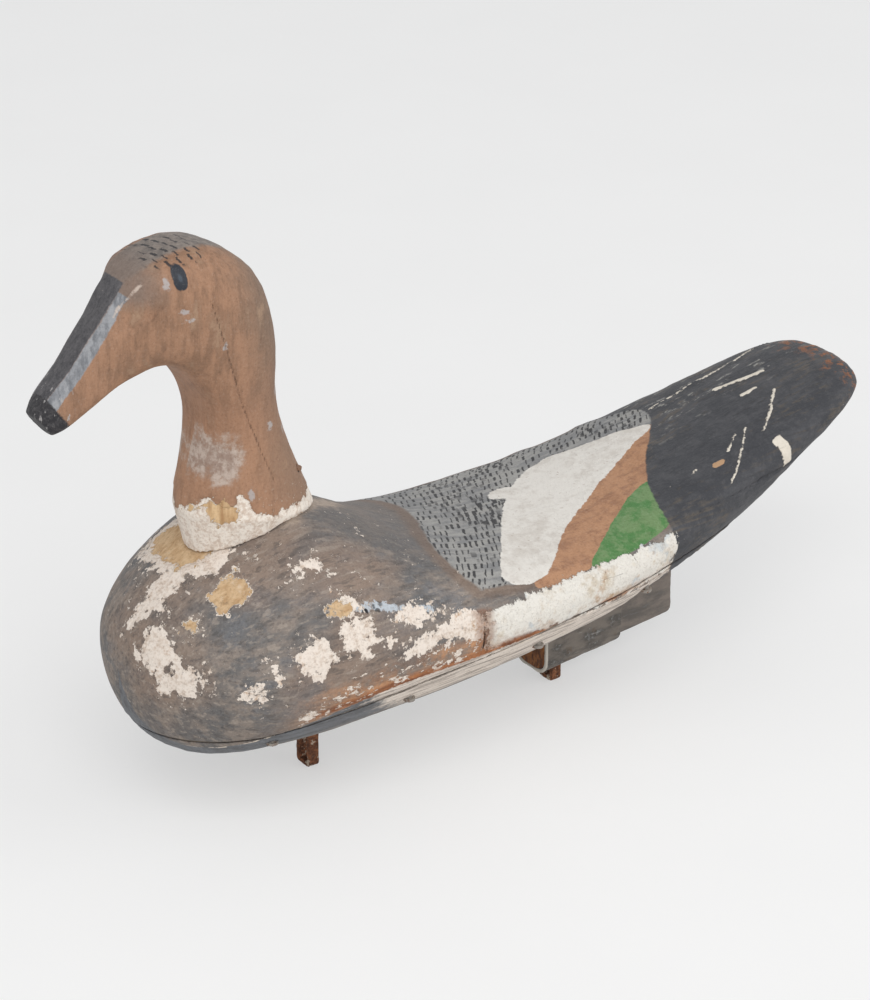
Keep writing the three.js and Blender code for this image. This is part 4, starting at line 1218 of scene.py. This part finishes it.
def build_hull():
    seam = seam_plane()
    grid = survey_hull()
    sizes = ring_sizes(grid)
    whole = grid_mesh(grid)
    places = vertex_places(whole)
    turn = hull_turn(places, sizes)
    flakes = {"wood": place_outlines([oval(*flake) for flake in BARE_WOOD], places, turn),
              "gesso": place_outlines([oval(*flake) for flake in GESSO_FLAKES], places, turn)}
    carve_hull(whole, sizes, seam, flakes)
    finish = hull_finish()
    upper = hull_part(whole, seam, 0.4, True)
    lower = hull_part(whole, seam, -0.4, False)
    layer = hull_part(hull_part(whole, seam, 0.35, False), seam, -0.35, True)
    shrink_rim(layer, 0.5)
    for name, mesh, slot, node in (("upper_body", upper, "body_paint", "body_shell"),
                                   ("lower_board", lower, "board_paint", "bottom_board")):
        for field, values in hull_marks(vertex_places(mesh), sizes, seam, flakes).items():
            mark(mesh, field, values)
        mesh.materials.append(finish)
        add_piece(name, mesh, slot, node)
    layer.materials.append(bedding_finish())
    add_piece("joint_bedding", layer, "gesso", "seam_putty")


def build_head():
    mesh = remeshed("head_and_neck", 0.9)
    relax(mesh, 40)
    carve_head(mesh)
    for field, values in head_marks(vertex_places(mesh)).items():
        mark(mesh, field, np.clip(values, -400, 400))
    mesh.materials.append(head_finish())
    add_piece("carved_head", mesh, "head_paint", "head_and_neck")


def build_small_pieces():
    iron = rust_finish()
    build_neck_fillet()
    textured_piece("keel_block", "keel_bar", "board_paint", 0.7, 0.18, 3, 95, 10, keel_finish(),
                   (0.15, 1, 1))
    textured_piece("keel_wrap", "keel_sheath", "lead", 0.45, 0.25, 6, 101, 8, lead_finish(),
                   (0.6, 1, 1))
    for place in ("front", "rear"):
        textured_piece(f"{place}_mooring_staple", f"{place}_staple", "rusty_iron", 0.35, 0.14, 2.2,
                       107, 8, iron)
    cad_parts["neck_dowel"].data.materials[0] = dowel_finish()
    brown_heads = painted_nail_finish("brown_nails", paint(146, 112, 90), paint(122, 96, 80))
    grey_heads = painted_nail_finish("grey_nails", paint(172, 164, 154), paint(118, 114, 110))
    finishes = {"neck_nail": brown_heads, "board_nail": grey_heads, "keel_tack": grey_heads,
                "keel_screw": iron}
    for name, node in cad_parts.items():
        for start, finish in finishes.items():
            if name.startswith(start):
                node.data.materials[0] = finish


def build_room():
    """A pale floor that fades into a white surround."""
    mesh = bpy.data.meshes.new("floor")
    reach = 3.0
    mesh.from_pydata([(-reach, -reach, 0), (reach, -reach, 0), (reach, reach, 0), (-reach, reach, 0)],
                     [], [(0, 1, 2, 3)])
    floor = bpy.data.objects.new("floor", mesh)
    bpy.context.scene.collection.objects.link(floor)
    f = Finish("pale_floor")
    mottle = f.noise(90, 3, 0.5)
    color = f.blend(paint(240, 239, 237), paint(234, 233, 231), mottle)
    mesh.materials.append(f.done(color, mottle * 0.05 + 0.75, mottle * 0.02))
    glow = f.node("ShaderNodeEmission", None, {"Color": (1, 1, 1, 1), "Strength": 1.0})
    surface = f.white_when_seen(Wire(f, f.shader.outputs[0]), glow, 0.45)
    f.feed(f.tree.nodes["Material Output"].inputs["Surface"], surface)

    world = bpy.data.worlds.new("surround")
    bpy.context.scene.world = world
    world.use_nodes = True
    world.node_tree.nodes.clear()
    w = Nodes(world.node_tree)
    dim = w.node("ShaderNodeBackground", None, {"Color": (0.95, 0.97, 1.0, 1), "Strength": 0.55})
    white = w.node("ShaderNodeBackground", None, {"Color": (1, 1, 1, 1), "Strength": 1.0})
    w.node("ShaderNodeOutputWorld", None, {0: w.white_when_seen(dim, white, 1.0)})


def add_lamp(name, spot, target, size, power):
    data = bpy.data.lights.new(name, "AREA")
    data.size = size
    data.energy = power
    lamp = bpy.data.objects.new(name, data)
    lamp.location = spot
    lamp.rotation_euler = (Vector(target) - Vector(spot)).to_track_quat("-Z", "Y").to_euler()
    bpy.context.scene.collection.objects.link(lamp)


def add_camera():
    """Looks down on the duck's left side from ahead of it."""
    data = bpy.data.cameras.new("camera")
    data.sensor_width = 36
    data.lens = 135.4
    camera = bpy.data.objects.new("camera", data)
    turn = math.radians(-35.94)
    lift = math.radians(26)
    back = Vector((math.sin(turn) * math.cos(lift), -math.cos(turn) * math.cos(lift), math.sin(lift)))
    aim = Vector((-0.0150, 0, 0.1053))
    camera.location = aim + back * 1.5947
    camera.rotation_euler = (-back).to_track_quat("-Z", "Y").to_euler()
    bpy.context.scene.collection.objects.link(camera)
    bpy.context.scene.camera = camera


build_hull()
build_head()
build_small_pieces()
build_room()
add_lamp("key", (-0.9, -1.3, 1.7), (0, 0, 0.08), 1.6, 24)
add_lamp("fill", (1.2, -1.3, 1.1), (0, 0, 0.08), 1.6, 11)
add_camera()
bpy.context.scene.view_settings.view_transform = "Standard"
